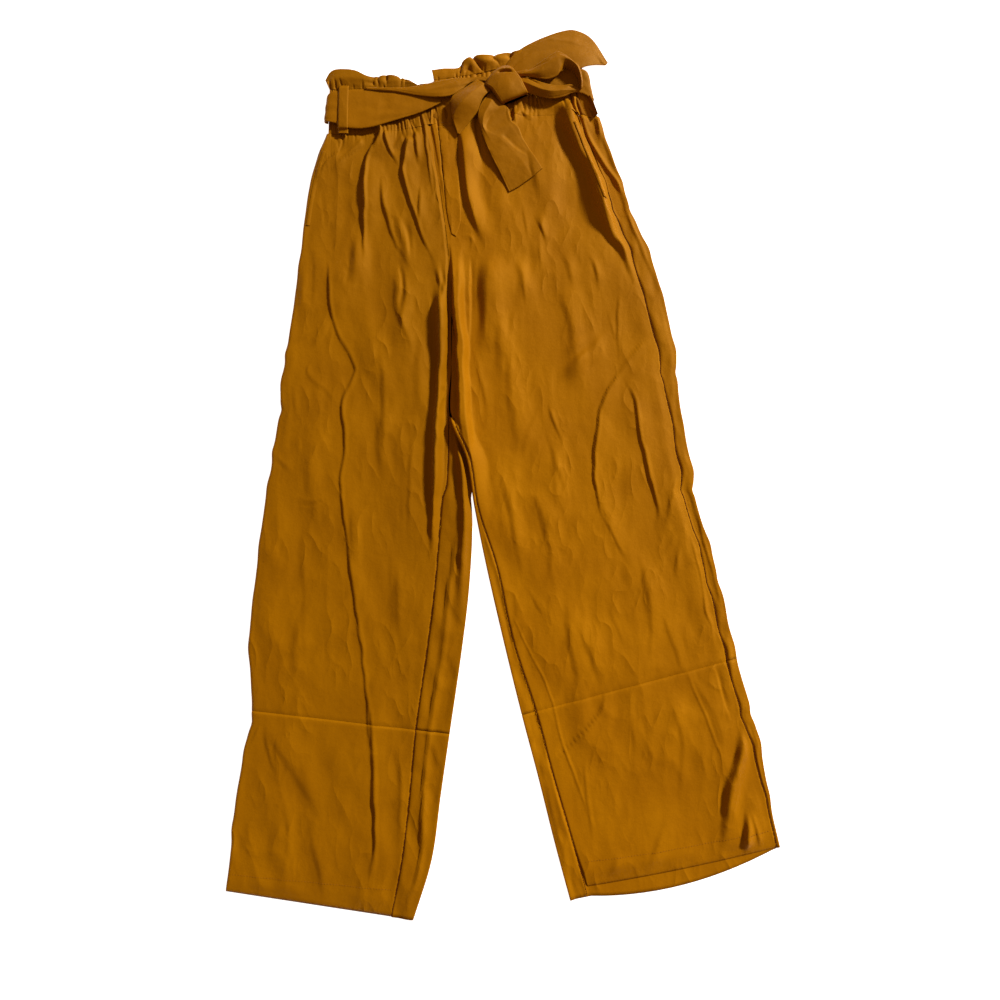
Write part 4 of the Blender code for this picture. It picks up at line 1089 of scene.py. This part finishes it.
def gathers(side, x, y):
    """Height of the small gathers: whole in the casing, dying out down the leg."""
    outer_x, _, inner_x, _ = LEGS[side][0][:4]
    seam = seam_level(side, (x - outer_x) / (inner_x - outer_x))
    below = np.maximum(seam - y, 0)
    from_right = (x - min(outer_x, inner_x)) / abs(inner_x - outer_x)
    fan = gather_wave(from_right, GATHERS[side], BAND_SEEDS[side])
    fade = np.exp(-below / (8 + 6 * uneven(x, 12, 77)))
    strength = GATHER_HEIGHT[side] + 0.8 * uneven(x, 17, 78)
    pinch = 0.5 * (1 + uneven(x, 9, 79)) * np.exp(-((seam + 2 - y) / 4.5) ** 2)
    smoother = 1 - 0.85 * ramp(x, 46, 58)
    return smoother * (strength * (fan - 0.5) * fade - pinch)


def gather_relief(side, x, y):
    return add_creases(0 * x, x, y, GATHER_CREASES[side], 500)


def front_relief(side, x, y):
    return relief(x, y, FRONT_CREASES[side], FRONT_SEEDS[side])


def above(least, height):
    """A height that sinks softly towards the least one, and never below it."""
    return least + FLOOR_SOFT * np.logaddexp(0, (height - least) / FLOOR_SOFT)


def front_height(side, x, y, marks, from_outer, from_inner):
    """Top of the front cloth, without the dips at its edges."""
    top = front_relief(side, x, y)
    if side == "right":
        top = top * (1 + 0.35 * ramp(y, 270, 350))
    inner_fade = np.where(marks > CROTCH_ROW - 0.5, ease(from_inner / SEAM_FADE), 1.0)
    top = rise(y) + top * ease(from_outer / SEAM_FADE) * inner_fade
    return above(LEAST_HEIGHT, top + gathers(side, x, y) + gather_relief(side, x, y))


def front_panel(side, part, first, last):
    """Front cloth of a leg, from its side seam to the centre seam or the inseam."""
    values = leg_values(side, first, last, FINE_ALONG)
    marks = values["marks"][:, None]
    side_inset = values["side_inset"][:, None]
    start = side_inset + np.where(side_inset > 0.5, GAP, 0)
    reach = np.where(marks < CROTCH_ROW + 0.2, CENTRE_REACH[side], -0.1)
    end = (values["width"] - values["inseam_inset"])[:, None] + reach
    share = spaced(int(np.max(end - start) / FINE_ACROSS), 0.2)[None, :]
    across = start + share * (end - start)
    x, y = leg_plane(values, across, TOP_BOW[side], 0)
    y = y + FRONT_HEM_LIFT[side] * ease(marks - (HEM_ROW - 1)) * share**2
    from_outer, from_inner = across - start, end - across
    z = front_height(side, x, y, marks, from_outer, from_inner)

    below = ease((marks - CROTCH_ROW + 0.25) / 0.5)
    lift = edge_lift(side, y) * ease(1 - from_inner / FORK_WIDTH) * below
    if side == "left":
        lift = np.maximum(lift, centre_bank(x, y) * ease(from_inner / 3 + 0.5 * below))
        x = x - BANK_LEAN * lift * np.exp(-(from_inner / LEAN_WIDTH)**2) * (1 - below)
    z = z + lift
    in_gap = GAP_FLOOR + (z - GAP_FLOOR) * centre_gap(x, y)
    inseam = INSEAM_TOP + lift
    seam = inseam + (z - inseam) * ease(0.2 + from_inner / INSEAM_ROLL)
    z = in_gap + (seam - in_gap) * below
    z = SIDE_SEAM_TOP + (z - SIDE_SEAM_TOP) * ease(0.15 + from_outer / SIDE_ROLL[side])

    z = z + (HEM_HEIGHT - z) * ease((marks - (HEM_ROW - 0.35)) / 0.35)
    from_end = np.minimum(np.abs(marks - first), np.abs(marks - last)) * ROW_LENGTH
    seam_depth = 0.1 + 0.6 * ramp(marks, 1, 3)
    z = z - seam_depth * (1 - ease(from_end / SEAM_ROLL))
    hem_edge = ease((marks - (HEM_ROW - 0.06)) / 0.06)
    z = z - HEM_THINNED * hem_edge
    upper = np.stack((x, y, z), -1)
    lower = np.stack((x, y, z - CLOTH + HEM_UNDER * hem_edge), -1)
    return wall(f"cloth_front_{side}_{part}", upper, lower, LOOKS[side], f"front_{side}_{part}",
                crisp=part == "upper", turn=side == "left")


def back_panel(side, part, first, last):
    """Flat on the surface, turned up round the leg's edges to the seams that show in front."""
    values = leg_values(side, first, last, BACK_ALONG, "back")
    marks, width = values["marks"], values["width"]
    height = rise((values["outer_y"] + values["inner_y"]) / 2)
    flat = 0 * width
    crotch = marks >= CROTCH_ROW

    def turned(edge, inward, inset, height):
        """Across, height and whether it lies on top: from the seam round the edge to the floor."""
        reach = np.maximum(inset, EDGE_RADIUS + 0.8)
        line = [(edge + inward * (EDGE_RADIUS + (reach - EDGE_RADIUS) * s), height, True)
                for s in np.linspace(1, 0, 15)]
        for degrees in (110, 130, 150, 180, 215, 245, 270):
            turn = math.radians(degrees)
            q = EDGE_RADIUS + EDGE_RADIUS * math.cos(turn) + flat
            line.append((edge + inward * q, height / 2 + height / 2 * math.sin(turn), False))
        return line

    profile = [(flat, flat, False)]
    if side == "left":
        profile = turned(flat, 1, values["side_inset"], height)
    start_flat = len(profile)
    profile += [(width * share, flat, False) for share in np.linspace(0.08, 0.9, 14)]
    end_flat = len(profile)
    inner_lift = edge_lift(side, values["inner_y"]) * ease((marks - CROTCH_ROW + 0.1) / 0.3)
    inner = turned(width, -1, values["inseam_inset"], height + inner_lift)
    profile.append((np.where(crotch, inner[-1][0], width + 1.0), flat, False))
    profile += inner[-2::-1]
    across = np.array([p[0] for p in profile]).T
    z = np.array([p[1] for p in profile]).T
    top = np.array([p[2] for p in profile])
    x, y = leg_plane(values, across, TOP_BOW[side], HEM_BOW[side])

    lift = relief(x, y, STRIP_CREASES, STRIP_SEEDS[side])
    lift = lift + 0.9 * noise(x, y, 14, 30, 333) + 0.5 * noise(x, y, 8, 13, 335)
    from_edge = np.minimum(np.abs(across), np.abs(width[:, None] - across))
    inset = np.where(across < width[:, None] / 2, values["side_inset"][:, None],
                     values["inseam_inset"][:, None])
    from_seam = inset - from_edge
    lift = lift * ramp(from_edge, EDGE_RADIUS, EDGE_RADIUS + 7) * ramp(from_seam, -1, 4)
    raised = np.maximum(z + lift - 0.8 * (1 - ease(from_seam / 2.2)), CLOTH + 0.5)
    z = np.where(top, raised, z)
    outer = np.stack((x, y, z), -1)
    inner_grid = outer.copy()
    middle = height / 2
    for j, on_top in enumerate(top):
        if on_top:
            inner_grid[:, j, 2] -= CLOTH
        elif start_flat <= j <= end_flat:
            inner_grid[:, j, 2] += CLOTH
        else:
            kept = 1 - CLOTH / np.maximum(middle, 1)
            inner_grid[:, j, 2] = middle + (outer[:, j, 2] - middle) * kept
            towards = np.sign(width / 2 - across[:, j])
            inner_grid[:, j, 0] += 0.75 * towards * (1 if side == "right" else -1)
    present = np.ones((len(marks) - 1, outer.shape[1] - 1), bool)
    present[marks[:-1] < CROTCH_ROW, end_flat:] = False
    return wall(f"cloth_back_{side}_{part}", inner_grid, outer, LOOKS[BACK_LOOKS[side]],
                f"back_{side}_{part}", present=present, turn=side == "left")


# ---------------------------------------------------------------- waist

def casing_seam(side, count):
    """Points along the seam under the casing, from the wearer's right."""
    if side == "back":
        both = np.vstack((casing_seam("right", count), casing_seam("left", count)))
        spread = np.linspace(both[0, 0], both[-1, 0], count)
        return np.stack((spread, np.interp(spread, both[:, 0], both[:, 1])), -1)
    outer_x, _, inner_x, _ = LEGS[side][0][:4]
    share = np.linspace(0, 1, count)
    if side == "left":
        share = share[::-1]
    x = outer_x + share * (inner_x - outer_x)
    edge_trim = 3 if side == "right" else -3
    return np.stack((x + edge_trim * (1 - share), seam_level(side, share)), -1)


def rolls(side, x, y, share):
    """Height of the front ruffle: rounded rolls with sharp valleys between them."""
    total = 0 * x
    lean_x, lean_y = RUFFLE_LEAN_FROM
    x = x - RUFFLE_LEAN[side] * np.clip(lean_y - y, 0, 30) * ramp(x, lean_x, lean_x + 12)
    for start, end, height in RUFFLE_ROLLS[side]:
        middle, half = (start + end) / 2, (end - start) / 2
        drift = 0.25 * half * noise(share * 3, 0 * share + start, 1, 1, 91)
        reach = np.clip(1 - ((x - middle - drift) / half) ** 2, 0, 1)
        total = np.maximum(total, height * reach**0.5)
    return total * (0.3 + 0.7 * ease(share * 1.6))


def back_waves(along, seed):
    """Height of the back ruffle's waves, uneven in size."""
    phase = BACK_WAVES * along + 0.35 * np.sin(9 * along + seed)
    cell = np.floor(phase).astype(int)
    size = np.random.default_rng(seed + 50).uniform(0.35, 1.1, 60)[(cell + 5) % 60]
    return size * np.sin(math.pi * (phase - cell))**2


def band(kind, side, foot, head, rows, look, pinch=0.0):
    """A gathered band of the waist, between the points along its foot and its head."""
    layer = "back" if side == "back" else "front"
    title = "back" if side == "back" else f"front_{side}"
    share = np.linspace(1, 0, rows)[:, None]
    levels = np.array(BAND_LEVELS[kind, layer], float)
    bottom, gather, wave = (np.interp(share, levels[:, 0], levels[:, k]) for k in (1, 2, 3))
    u = np.linspace(0, 1, len(foot))[None, :]
    seed = BAND_SEEDS[side]
    xy = foot[None] + share[..., None] * (head - foot)[None]
    x, y = xy[..., 0], xy[..., 1]
    if layer == "back":
        lean = u + 0.004 * noise(u * 30, share * 3, 1, 1, seed + 30)
        z = bottom + gather * gather_wave(lean, GATHERS[side], seed)
        z = np.maximum(z, BACK_LEFT_TOP * ramp(x, 88, 98) * ramp(x, 140, 136))
        z = add_creases(z, x, y, STRIP_CREASES, STRIP_SEEDS["left"], ramp(x, 60, 70))
        if kind == "ruffle":
            z = z + wave * back_waves(u, seed)
    elif kind == "casing":
        z = front_relief(side, x, y) * (1 - ramp(share, 0.15, 0.5))
        z = bottom + z + gathers(side, x, y) + gather_relief(side, x, y)
        z = above(LEAST_HEIGHT - CLOTH, z)
    else:
        z = bottom + gather * (gathers(side, x, y) + 0.5) + wave * rolls(side, x, y, share)
        z = add_creases(z, x, y, RUFFLE_CREASES[side], 560)
    xy = xy - pinch * np.sin(math.pi * share)[..., None] * ((u**6)[..., None] * (1, 0))
    z = z + 0.25 * noise(x, y, 7, 12, seed + 80)
    lower = np.concatenate((xy, z[..., None]), -1)
    return wall(f"cloth_{kind}_{title}", lower + (0, 0, CLOTH), lower, look, f"{kind}_{title}",
                crisp=kind == "casing" and layer == "front")


def waist():
    """The casing and the ruffle, each in three pieces."""
    made = {}
    for side in ("right", "left", "back"):
        front = side != "back"
        look = LOOKS[side] if front else LOOKS["inside"]
        seam = casing_seam(side, WAIST_COLUMNS[side]) + (0, 0.05 if front else GAP)
        top = line_points(CASING_TOP[side], WAIST_COLUMNS[side])
        edge = line_points(RUFFLE_TOP[side], WAIST_COLUMNS[side])
        casing = band("casing", side, seam, top, 40 if front else 22, look, WAIST_PINCH[side])
        ruffle = band("ruffle", side, top + (0, GAP), edge, 20, look)
        title = f"front_{side}" if front else "back"
        made.update({f"casing_{title}": casing, f"ruffle_{title}": ruffle})
    return made


# ---------------------------------------------------------------- resting on the front cloth

def cloth_points(*names):
    """Points of the finished cloth pieces whose names start so."""
    grids = []
    for thing in bpy.data.objects:
        if thing.name.startswith(names):
            points = np.empty(3 * len(thing.data.vertices), np.float32)
            thing.data.vertices.foreach_get("co", points)
            grids.append(points.reshape(-1, 3) / MM + (CENTRE_X, CENTRE_Y, 0))
    return np.vstack(grids)


def neighbours(grid, **mode):
    padded = np.pad(grid, 1, **mode)
    return padded[:-2, 1:-1], padded[2:, 1:-1], padded[1:-1, :-2], padded[1:-1, 2:]


def height_map(points):
    """Highest point in each square cell of a grid over the front, with empty cells filled."""
    cells = np.floor((points[:, :2] - MAP_CORNER) / CELL).astype(int)
    best = np.zeros(cells.max(axis=0) + 2)
    np.maximum.at(best, (cells[:, 0], cells[:, 1]), points[:, 2])
    for _ in range(3):
        best = np.where(best > 0, best, np.max(neighbours(best), axis=0))
    return best


def resting(best, x, y, reach):
    """Height of the front cloth at each point, the highest within reach, read between cells."""
    out = np.zeros(x.shape)
    ring = [(reach * math.cos(t), reach * math.sin(t)) for t in np.arange(8) * math.pi / 4]
    for dx, dy in [(0, 0)] + ring:
        u = (x + dx - MAP_CORNER[0]) / CELL - 0.5
        v = (y + dy - MAP_CORNER[1]) / CELL - 0.5
        iu, iv = np.floor(u).astype(int), np.floor(v).astype(int)
        fu, fv = u - iu, v - iv
        z = ((best[iu, iv] * (1 - fu) + best[iu + 1, iv] * fu) * (1 - fv)
             + (best[iu, iv + 1] * (1 - fu) + best[iu + 1, iv + 1] * fu) * fv)
        out = np.maximum(out, z)
    return out


def relaxed(z, rounds):
    """Softens a height grid but never below itself at its high points."""
    base = z.copy()
    for _ in range(rounds):
        up, down, left, right = neighbours(z, mode="edge")
        z = np.maximum((up + down + left + right) / 4, base)
    return z


# ---------------------------------------------------------------- sash, bow and trimmings

def pressed(rim, width):
    """The pressed line along a ribbon's edges, by the distance from them."""
    return EDGE_LINE * np.exp(-((rim - EDGE_LINE_AT) / width) ** 2)


def strip(name, rows, along, across, crown=0.0, wrinkle=0.25, seed=1):
    """A doubled ribbon between its two edges, crowned, with small wrinkles."""
    marks = smooth(np.asarray(rows, float), np.linspace(0, len(rows) - 1, along))
    share = spaced(across, 0.25)[None, :]
    grid = marks[:, None, :3] * (1 - share[..., None]) + marks[:, None, 3:] * share[..., None]
    run = np.linspace(0, 1, along)[:, None]
    lift = crown * np.sin(math.pi * share) * (ease(5 * run) * ease(5 - 5 * run))
    rim = np.minimum(share, 1 - share)
    width = np.linalg.norm(marks[:, 3:] - marks[:, :3], axis=1)[:, None]
    length = running(np.linalg.norm(np.diff(grid[:, across // 2], axis=0), axis=1))[:, None]
    aside = (share - 0.5) * width
    lift = lift + wrinkle * noise(length + 0 * aside, aside, 26, 7, seed) * ease(rim / 0.1)
    lift = lift + 0.4 * wrinkle * noise(length + 0.5 * aside, aside, 9, 9, seed + 1)
    lift = add_creases(lift, grid[..., 0], grid[..., 1], SASH_CREASES.get(name, ()), 600)
    lift = lift - pressed(rim * width, 0.6)
    normal = (thickened(grid, RIBBON) - grid) / RIBBON
    flip = normal[..., 2].sum() < 0
    if flip:
        normal = -normal
    edge_round = 0.45 * (1 - ease(rim * width / 1.6))
    low = grid + normal * (lift + edge_round)[..., None]
    high = grid + normal * (lift + RIBBON - edge_round)[..., None]
    title = name + "_cloth" if name.startswith("sash") else "sash_" + name
    return wall(title, high, low, LOOKS["sash"], name, turn=flip)


def lying_strip(name, edges, best, thickness, look, along, across, wrinkle):
    """A single strip of cloth that lies on the front between two lines."""
    marks = smooth(edges, np.linspace(0, len(edges) - 1, along))
    share = np.linspace(0, 1, across)[None, :, None]
    plane = marks[:, None, :2] * (1 - share) + marks[:, None, 2:] * share
    x, y = plane[..., 0], plane[..., 1]
    under = relaxed(resting(best, x, y, 0.4), 2) + AIR
    body = share[..., 0]
    rim = np.minimum(body, 1 - body) * np.hypot(*(marks[:, 2:] - marks[:, :2]).T)[:, None]
    soft = 0.4 * thickness * (1 - ease(rim / 1.8))
    z = under + wrinkle * (1 + noise(x, y, 12, 20, 5)) * ease(rim / 3)
    lower = np.stack((x, y, z + 0.5 * soft), -1)
    upper = np.stack((x, y, z + thickness - soft), -1)
    return wall("cloth_" + name, upper, lower, look, name)


def folded(name, rows, along, across, creased=True, wrinkle=0.25, seed=1, rests=None, foot=None):
    """A ribbon through rows of points across it. With a foot it is solid down to that height."""
    rows = np.asarray(rows, float)
    count, points = rows.shape[:2]
    marks = smooth(rows.reshape(count, -1), np.linspace(0, count - 1, along))
    marks = marks.reshape(along, points, 3)
    at = np.linspace(0, points - 1, across)
    if creased:
        low = np.minimum(at.astype(int), points - 2)
        share = (at - low)[None, :, None]
        grid = marks[:, low] * (1 - share) + marks[:, low + 1] * share
        grid[:, 1:-1] = (grid[:, :-2] + 2 * grid[:, 1:-1] + grid[:, 2:]) / 4
    else:
        turned = marks.transpose(1, 0, 2).reshape(points, -1)
        grid = smooth(turned, at).reshape(across, along, 3).transpose(1, 0, 2).copy()
    x, y = grid[..., 0], grid[..., 1]
    body = np.linspace(0, 1, across)[None, :]
    width = np.linalg.norm(marks[:, -1] - marks[:, 0], axis=1)[:, None]
    rim = np.minimum(body, 1 - body) * width
    lift = wrinkle * noise(x + 0.6 * y, y - 0.6 * x, 20, 8, seed) * ease(rim / 3)
    lift = lift + 0.4 * wrinkle * noise(x, y, 6, 6, seed + 1)
    lift = add_creases(lift, x, y, SASH_CREASES.get(name, ()), 600)
    grid[..., 2] += lift - pressed(rim, 0.5)
    if rests is not None:
        least = relaxed(resting(rests, x, y, 1.5), 8) + RIBBON + AIR
        grid[..., 2] = np.maximum(grid[..., 2], least)
    if foot is not None:
        lower = grid.copy()
        lower[..., 2] = foot
        normal_up = np.cross(grid[1, 0] - grid[0, 0], grid[0, 1] - grid[0, 0])[2] > 0
        ends = np.linspace(0, 1, along)[:, None]
        slit_x, slit_y, slit_long, slit_wide, depth = KNOT_SLIT
        dx, dy = x - slit_x, y - slit_y + 0.02 * (x - slit_x) ** 2
        lip = np.exp(-(dx / (1.2 * slit_long)) ** 4 - ((dy - 2.6 * slit_wide) / 1.6) ** 2)
        grid[..., 2] -= depth * np.exp(-(dx / slit_long) ** 4 - (dy / slit_wide) ** 2)
        grid[..., 2] += 0.8 * lip
        grid[..., 2] -= 0.8 * (1 - ease(rim / 1.4)) * ease(8 * ends) * ease(8 - 8 * ends)
        grid[..., 2] = np.maximum(grid[..., 2], foot + 0.1)
    else:
        moved = thickened(grid, RIBBON)
        normal_up = (moved - grid)[..., 2].sum() > 0
        lower = 2 * grid - moved if normal_up else moved
        pinch = 0.4 * (1 - ease(rim / 1.2))[..., None]
        middle = (grid + lower) / 2
        grid, lower = grid + pinch * (middle - grid), lower + pinch * (middle - lower)
    return wall("sash_" + name, grid, lower, LOOKS["sash"], name,
                turn=not normal_up)


def front_loop(name, middle, foot, head, foot_z, head_z):
    """A belt loop over the sash, from its foot on the casing up to its head."""
    rows = ((foot, foot_z), (foot + 2, foot_z), (foot + 5, foot_z + 0.8),
            (foot + 8, LOOP_TOP + 0.2), ((foot + head) / 2, LOOP_TOP + 0.4),
            (head - 7, LOOP_TOP + 0.2), (head - 3, head_z + 1), (head, head_z))
    path = smooth(rows, np.linspace(0, len(rows) - 1, 40))[::-1]
    share = np.linspace(-1, 1, 11)
    bulge = 0.35 * (1 - share**2) - 0.5 * np.clip((np.abs(share) - 0.8) / 0.2, 0, 1) ** 2
    lower = np.array([[(middle + s * LOOP_WIDTH / 2, y, z) for s in share] for y, z in path])
    upper = lower.copy()
    upper[..., 2] += 1.1 + bulge
    return wall("cloth_" + name, upper, lower, LOOKS["right"], name)


def back_loop(name, middle, foot, head):
    """A belt loop under the sash's back, flat on the surface."""
    half = LOOP_WIDTH / 2
    x, y = np.meshgrid(np.linspace(middle - half, middle + half, 6), np.linspace(head, foot, 12))
    lower = np.stack((x, y, 0 * x), -1)
    return wall("cloth_" + name, lower + (0, 0, 1.0), lower, LOOKS["back"], name)


# ---------------------------------------------------------------- sewing

def seam_line(side, inset, first):
    """The line of a side seam or an inseam down to the hem, from one of the leg's rows."""
    values = leg_values(side, first, HEM_ROW, 2.0)
    across = values[inset] if inset == "side_inset" else values["width"] - values[inset]
    return np.hstack(leg_plane(values, across[:, None], TOP_BOW[side], 0))


def hem_line(side):
    """The stitch line across the front cloth above its hem."""
    values = leg_values(side, HEM_ROW - 1, HEM_ROW, 1.0)
    level = np.argmin(np.abs(values["outer_y"] - values["outer_y"][-1] - HEM_STITCH))
    share = np.linspace(0, 1, 120)[None, :]
    start = values["side_inset"][:, None] + 3
    across = start + share * ((values["width"] - values["inseam_inset"])[:, None] - 3 - start)
    x, y = leg_plane(values, across, TOP_BOW[side], 0)
    y = y + FRONT_HEM_LIFT[side] * share**2
    return np.stack((x[level], y[level]), -1)


def sewing(name, line, best, look, pitch, length, width):
    """Thread stitches on the cloth along a line. Each dips into the cloth at both of its ends."""
    done = lengths(line)
    starts = np.arange(pitch / 2, done[-1] - length, pitch)
    along = starts[:, None] + np.array((0, 0.2, 0.5, 0.8, 1.0)) * length
    x, y = (np.interp(along, done, column) for column in line.T)
    z = resting(best, x, y, 0.2) + np.array((-0.25, 0.2, 0.3, 0.2, -0.25))
    run = np.stack((x[:, -1] - x[:, 0], y[:, -1] - y[:, 0]), -1)
    run = run / np.hypot(*run.T)[:, None]
    aside = width / 2 * np.stack((-run[:, 1], run[:, 0]), -1)[:, None]
    middle = np.stack((x, y), -1)
    corners = [np.concatenate((middle + turn * aside, (z + lift)[..., None]), -1)
               for turn, lift in ((1, -0.3), (-1, -0.3), (-0.7, 0), (0.7, 0))]
    points = np.stack(corners, 2)
    count, stations = points.shape[:2]
    base = 4 * stations * np.arange(count)[:, None]
    quads = []
    for station in range(stations - 1):
        for corner in range(4):
            a = 4 * station + corner
            b = 4 * station + (corner + 1) % 4
            quads.append(base + np.array((a, b, b + 4, a + 4)))
    last = 4 * (stations - 1)
    quads += [base + np.array(end) for end in ((3, 2, 1, 0), (last, last + 1, last + 2, last + 3))]
    return add_mesh(name, points.reshape(-1, 3), np.vstack(quads), look, None)


# ---------------------------------------------------------------- build

for side in ("right", "left"):
    for layer, panel in (("front", front_panel), ("back", back_panel)):
        for part, first, last in (("upper", 0, SHIN_ROW), ("shin", SHIN_ROW, HEM_ROW)):
            panel(side, part, first, last)
waist()

RIBBONS = (
    (strip, "sash_back", SASH_BACK, 60, 10, {"seed": 3}),
    (strip, "sash_front_right", SASH_FRONT_RIGHT, 110, 26, {"wrinkle": 0.5, "seed": 8}),
    (strip, "sash_flap_right", SASH_FLAP_RIGHT, 90, 16,
     {"crown": 0.5, "wrinkle": 0.5, "seed": 12}),
    (strip, "sash_front_left", SASH_FRONT_LEFT, 70, 20, {"wrinkle": 0.5, "seed": 15}),
    (folded, "bow_loop_low", BOW_LOOP_LOW, 90, 50, {"seed": 21}),
    (folded, "bow_loop_upper_limb", BOW_LOOP_UPPER, 130, 36, {"creased": False, "seed": 25}),
    (folded, "bow_loop_lower_limb", BOW_LOOP_LOWER, 110, 40, {"seed": 29}),
    (strip, "tail_up", TAIL_UP, 100, 40, {"crown": 1.2, "wrinkle": 0.5, "seed": 33}),
    (folded, "knot", KNOT_BAND, 80, 60, {"creased": False, "seed": 41, "foot": KNOT_FOOT}),
)
for make, name, rows, along, across, options in RIBBONS:
    make(name, rows, along, across, **options)

tops = height_map(cloth_points("cloth_front", "cloth_casing_front"))
lying_strip("fly_lap", FLY_LAP, tops, 0.7, LOOKS["left"], 110, 26, 0.0)
for side, edge in POCKET_MOUTHS.items():
    low, high = (0, POCKET_WIDTH) if side == "right" else (-POCKET_WIDTH, 0)
    name = f"pocket_mouth_{side}"
    lying_strip(name, [(x + low, y, x + high, y) for x, y in edge], tops,
                               POCKET_EDGE[side], LOOKS[side], 70, 12, 0.1)
folded("tail_down", TAIL_DOWN, 150, 60, wrinkle=0.4, seed=37, rests=tops)
front_loop("belt_loop_front_right", *FRONT_LOOP)
for name, middle, foot, head in BACK_LOOPS:
    back_loop(name, middle, foot, head)

surface = height_map(cloth_points("cloth_front", "cloth_casing_front", "cloth_back"))
# Real stitches along the side seam and the inseams, coloured dark as painted shade of the seam's
# groove.
SEAM_LINES = (
    ("sewing_side_seam_left", "front_left_upper", seam_line("left", "side_inset", 1), 1.0),
    ("sewing_inseam_left", "front_left_upper", seam_line("left", "inseam_inset", CROTCH_ROW), 0.7),
    ("sewing_inseam_right", "front_right_upper", seam_line("right", "inseam_inset", CROTCH_ROW),
     0.7),
)
stitches = {}
for name, owner, line, width in SEAM_LINES:
    stitches.setdefault(owner, []).append(
        sewing(name, line, surface, LOOKS["seam"], 2.6, 2.5, width))
for side in ("right", "left"):
    stitches[f"front_{side}_shin"] = [
        sewing(f"sewing_hem_{side}", hem_line(side), surface, LOOKS["thread"], 3.4, 2.6, 0.5)]


# ---------------------------------------------------------------- floor, light and camera

low, high, depth = -FLOOR_HALF, FLOOR_HALF, -FLOOR_DEPTH
floor_mesh = bpy.data.meshes.new("floor")
floor_mesh.from_pydata([(low, low, depth), (high, low, depth), (high, high, depth),
                        (low, high, depth)], [], [(0, 1, 2, 3)])
floor_mesh.materials.append(plain_material("floor_white", (0.9, 0.9, 0.9), FLOOR_GLOW))
placed("floor", floor_mesh)

world = bpy.data.worlds.new("soft_white")
bpy.context.scene.world = world
world.use_nodes = True
fill(world.node_tree, world.node_tree.nodes["Background"],
     {"Color": SKY_COLOUR, "Strength": SKY_STRENGTH})

sun_data = bpy.data.lights.new("key", "SUN")
sun_data.energy = SUN_STRENGTH
sun_data.angle = math.radians(SUN_WIDTH)
sun_data.color = SUN_COLOUR
height, turn = math.radians(SUN_HEIGHT), math.radians(SUN_TURN)
towards = Vector((math.cos(height) * math.cos(turn), math.cos(height) * math.sin(turn),
                  math.sin(height)))
placed("key", sun_data).rotation_euler = towards.to_track_quat("Z", "Y").to_euler()

camera_data = bpy.data.cameras.new("camera")
camera_data.lens = CAMERA_LENS
camera_data.sensor_width = CAMERA_SENSOR
camera = placed("camera", camera_data)
camera.location = CAMERA_AT
camera.rotation_euler = (math.radians(CAMERA_TILT), 0, 0)
bpy.context.scene.camera = camera
bpy.context.scene.view_settings.view_transform = "Standard"
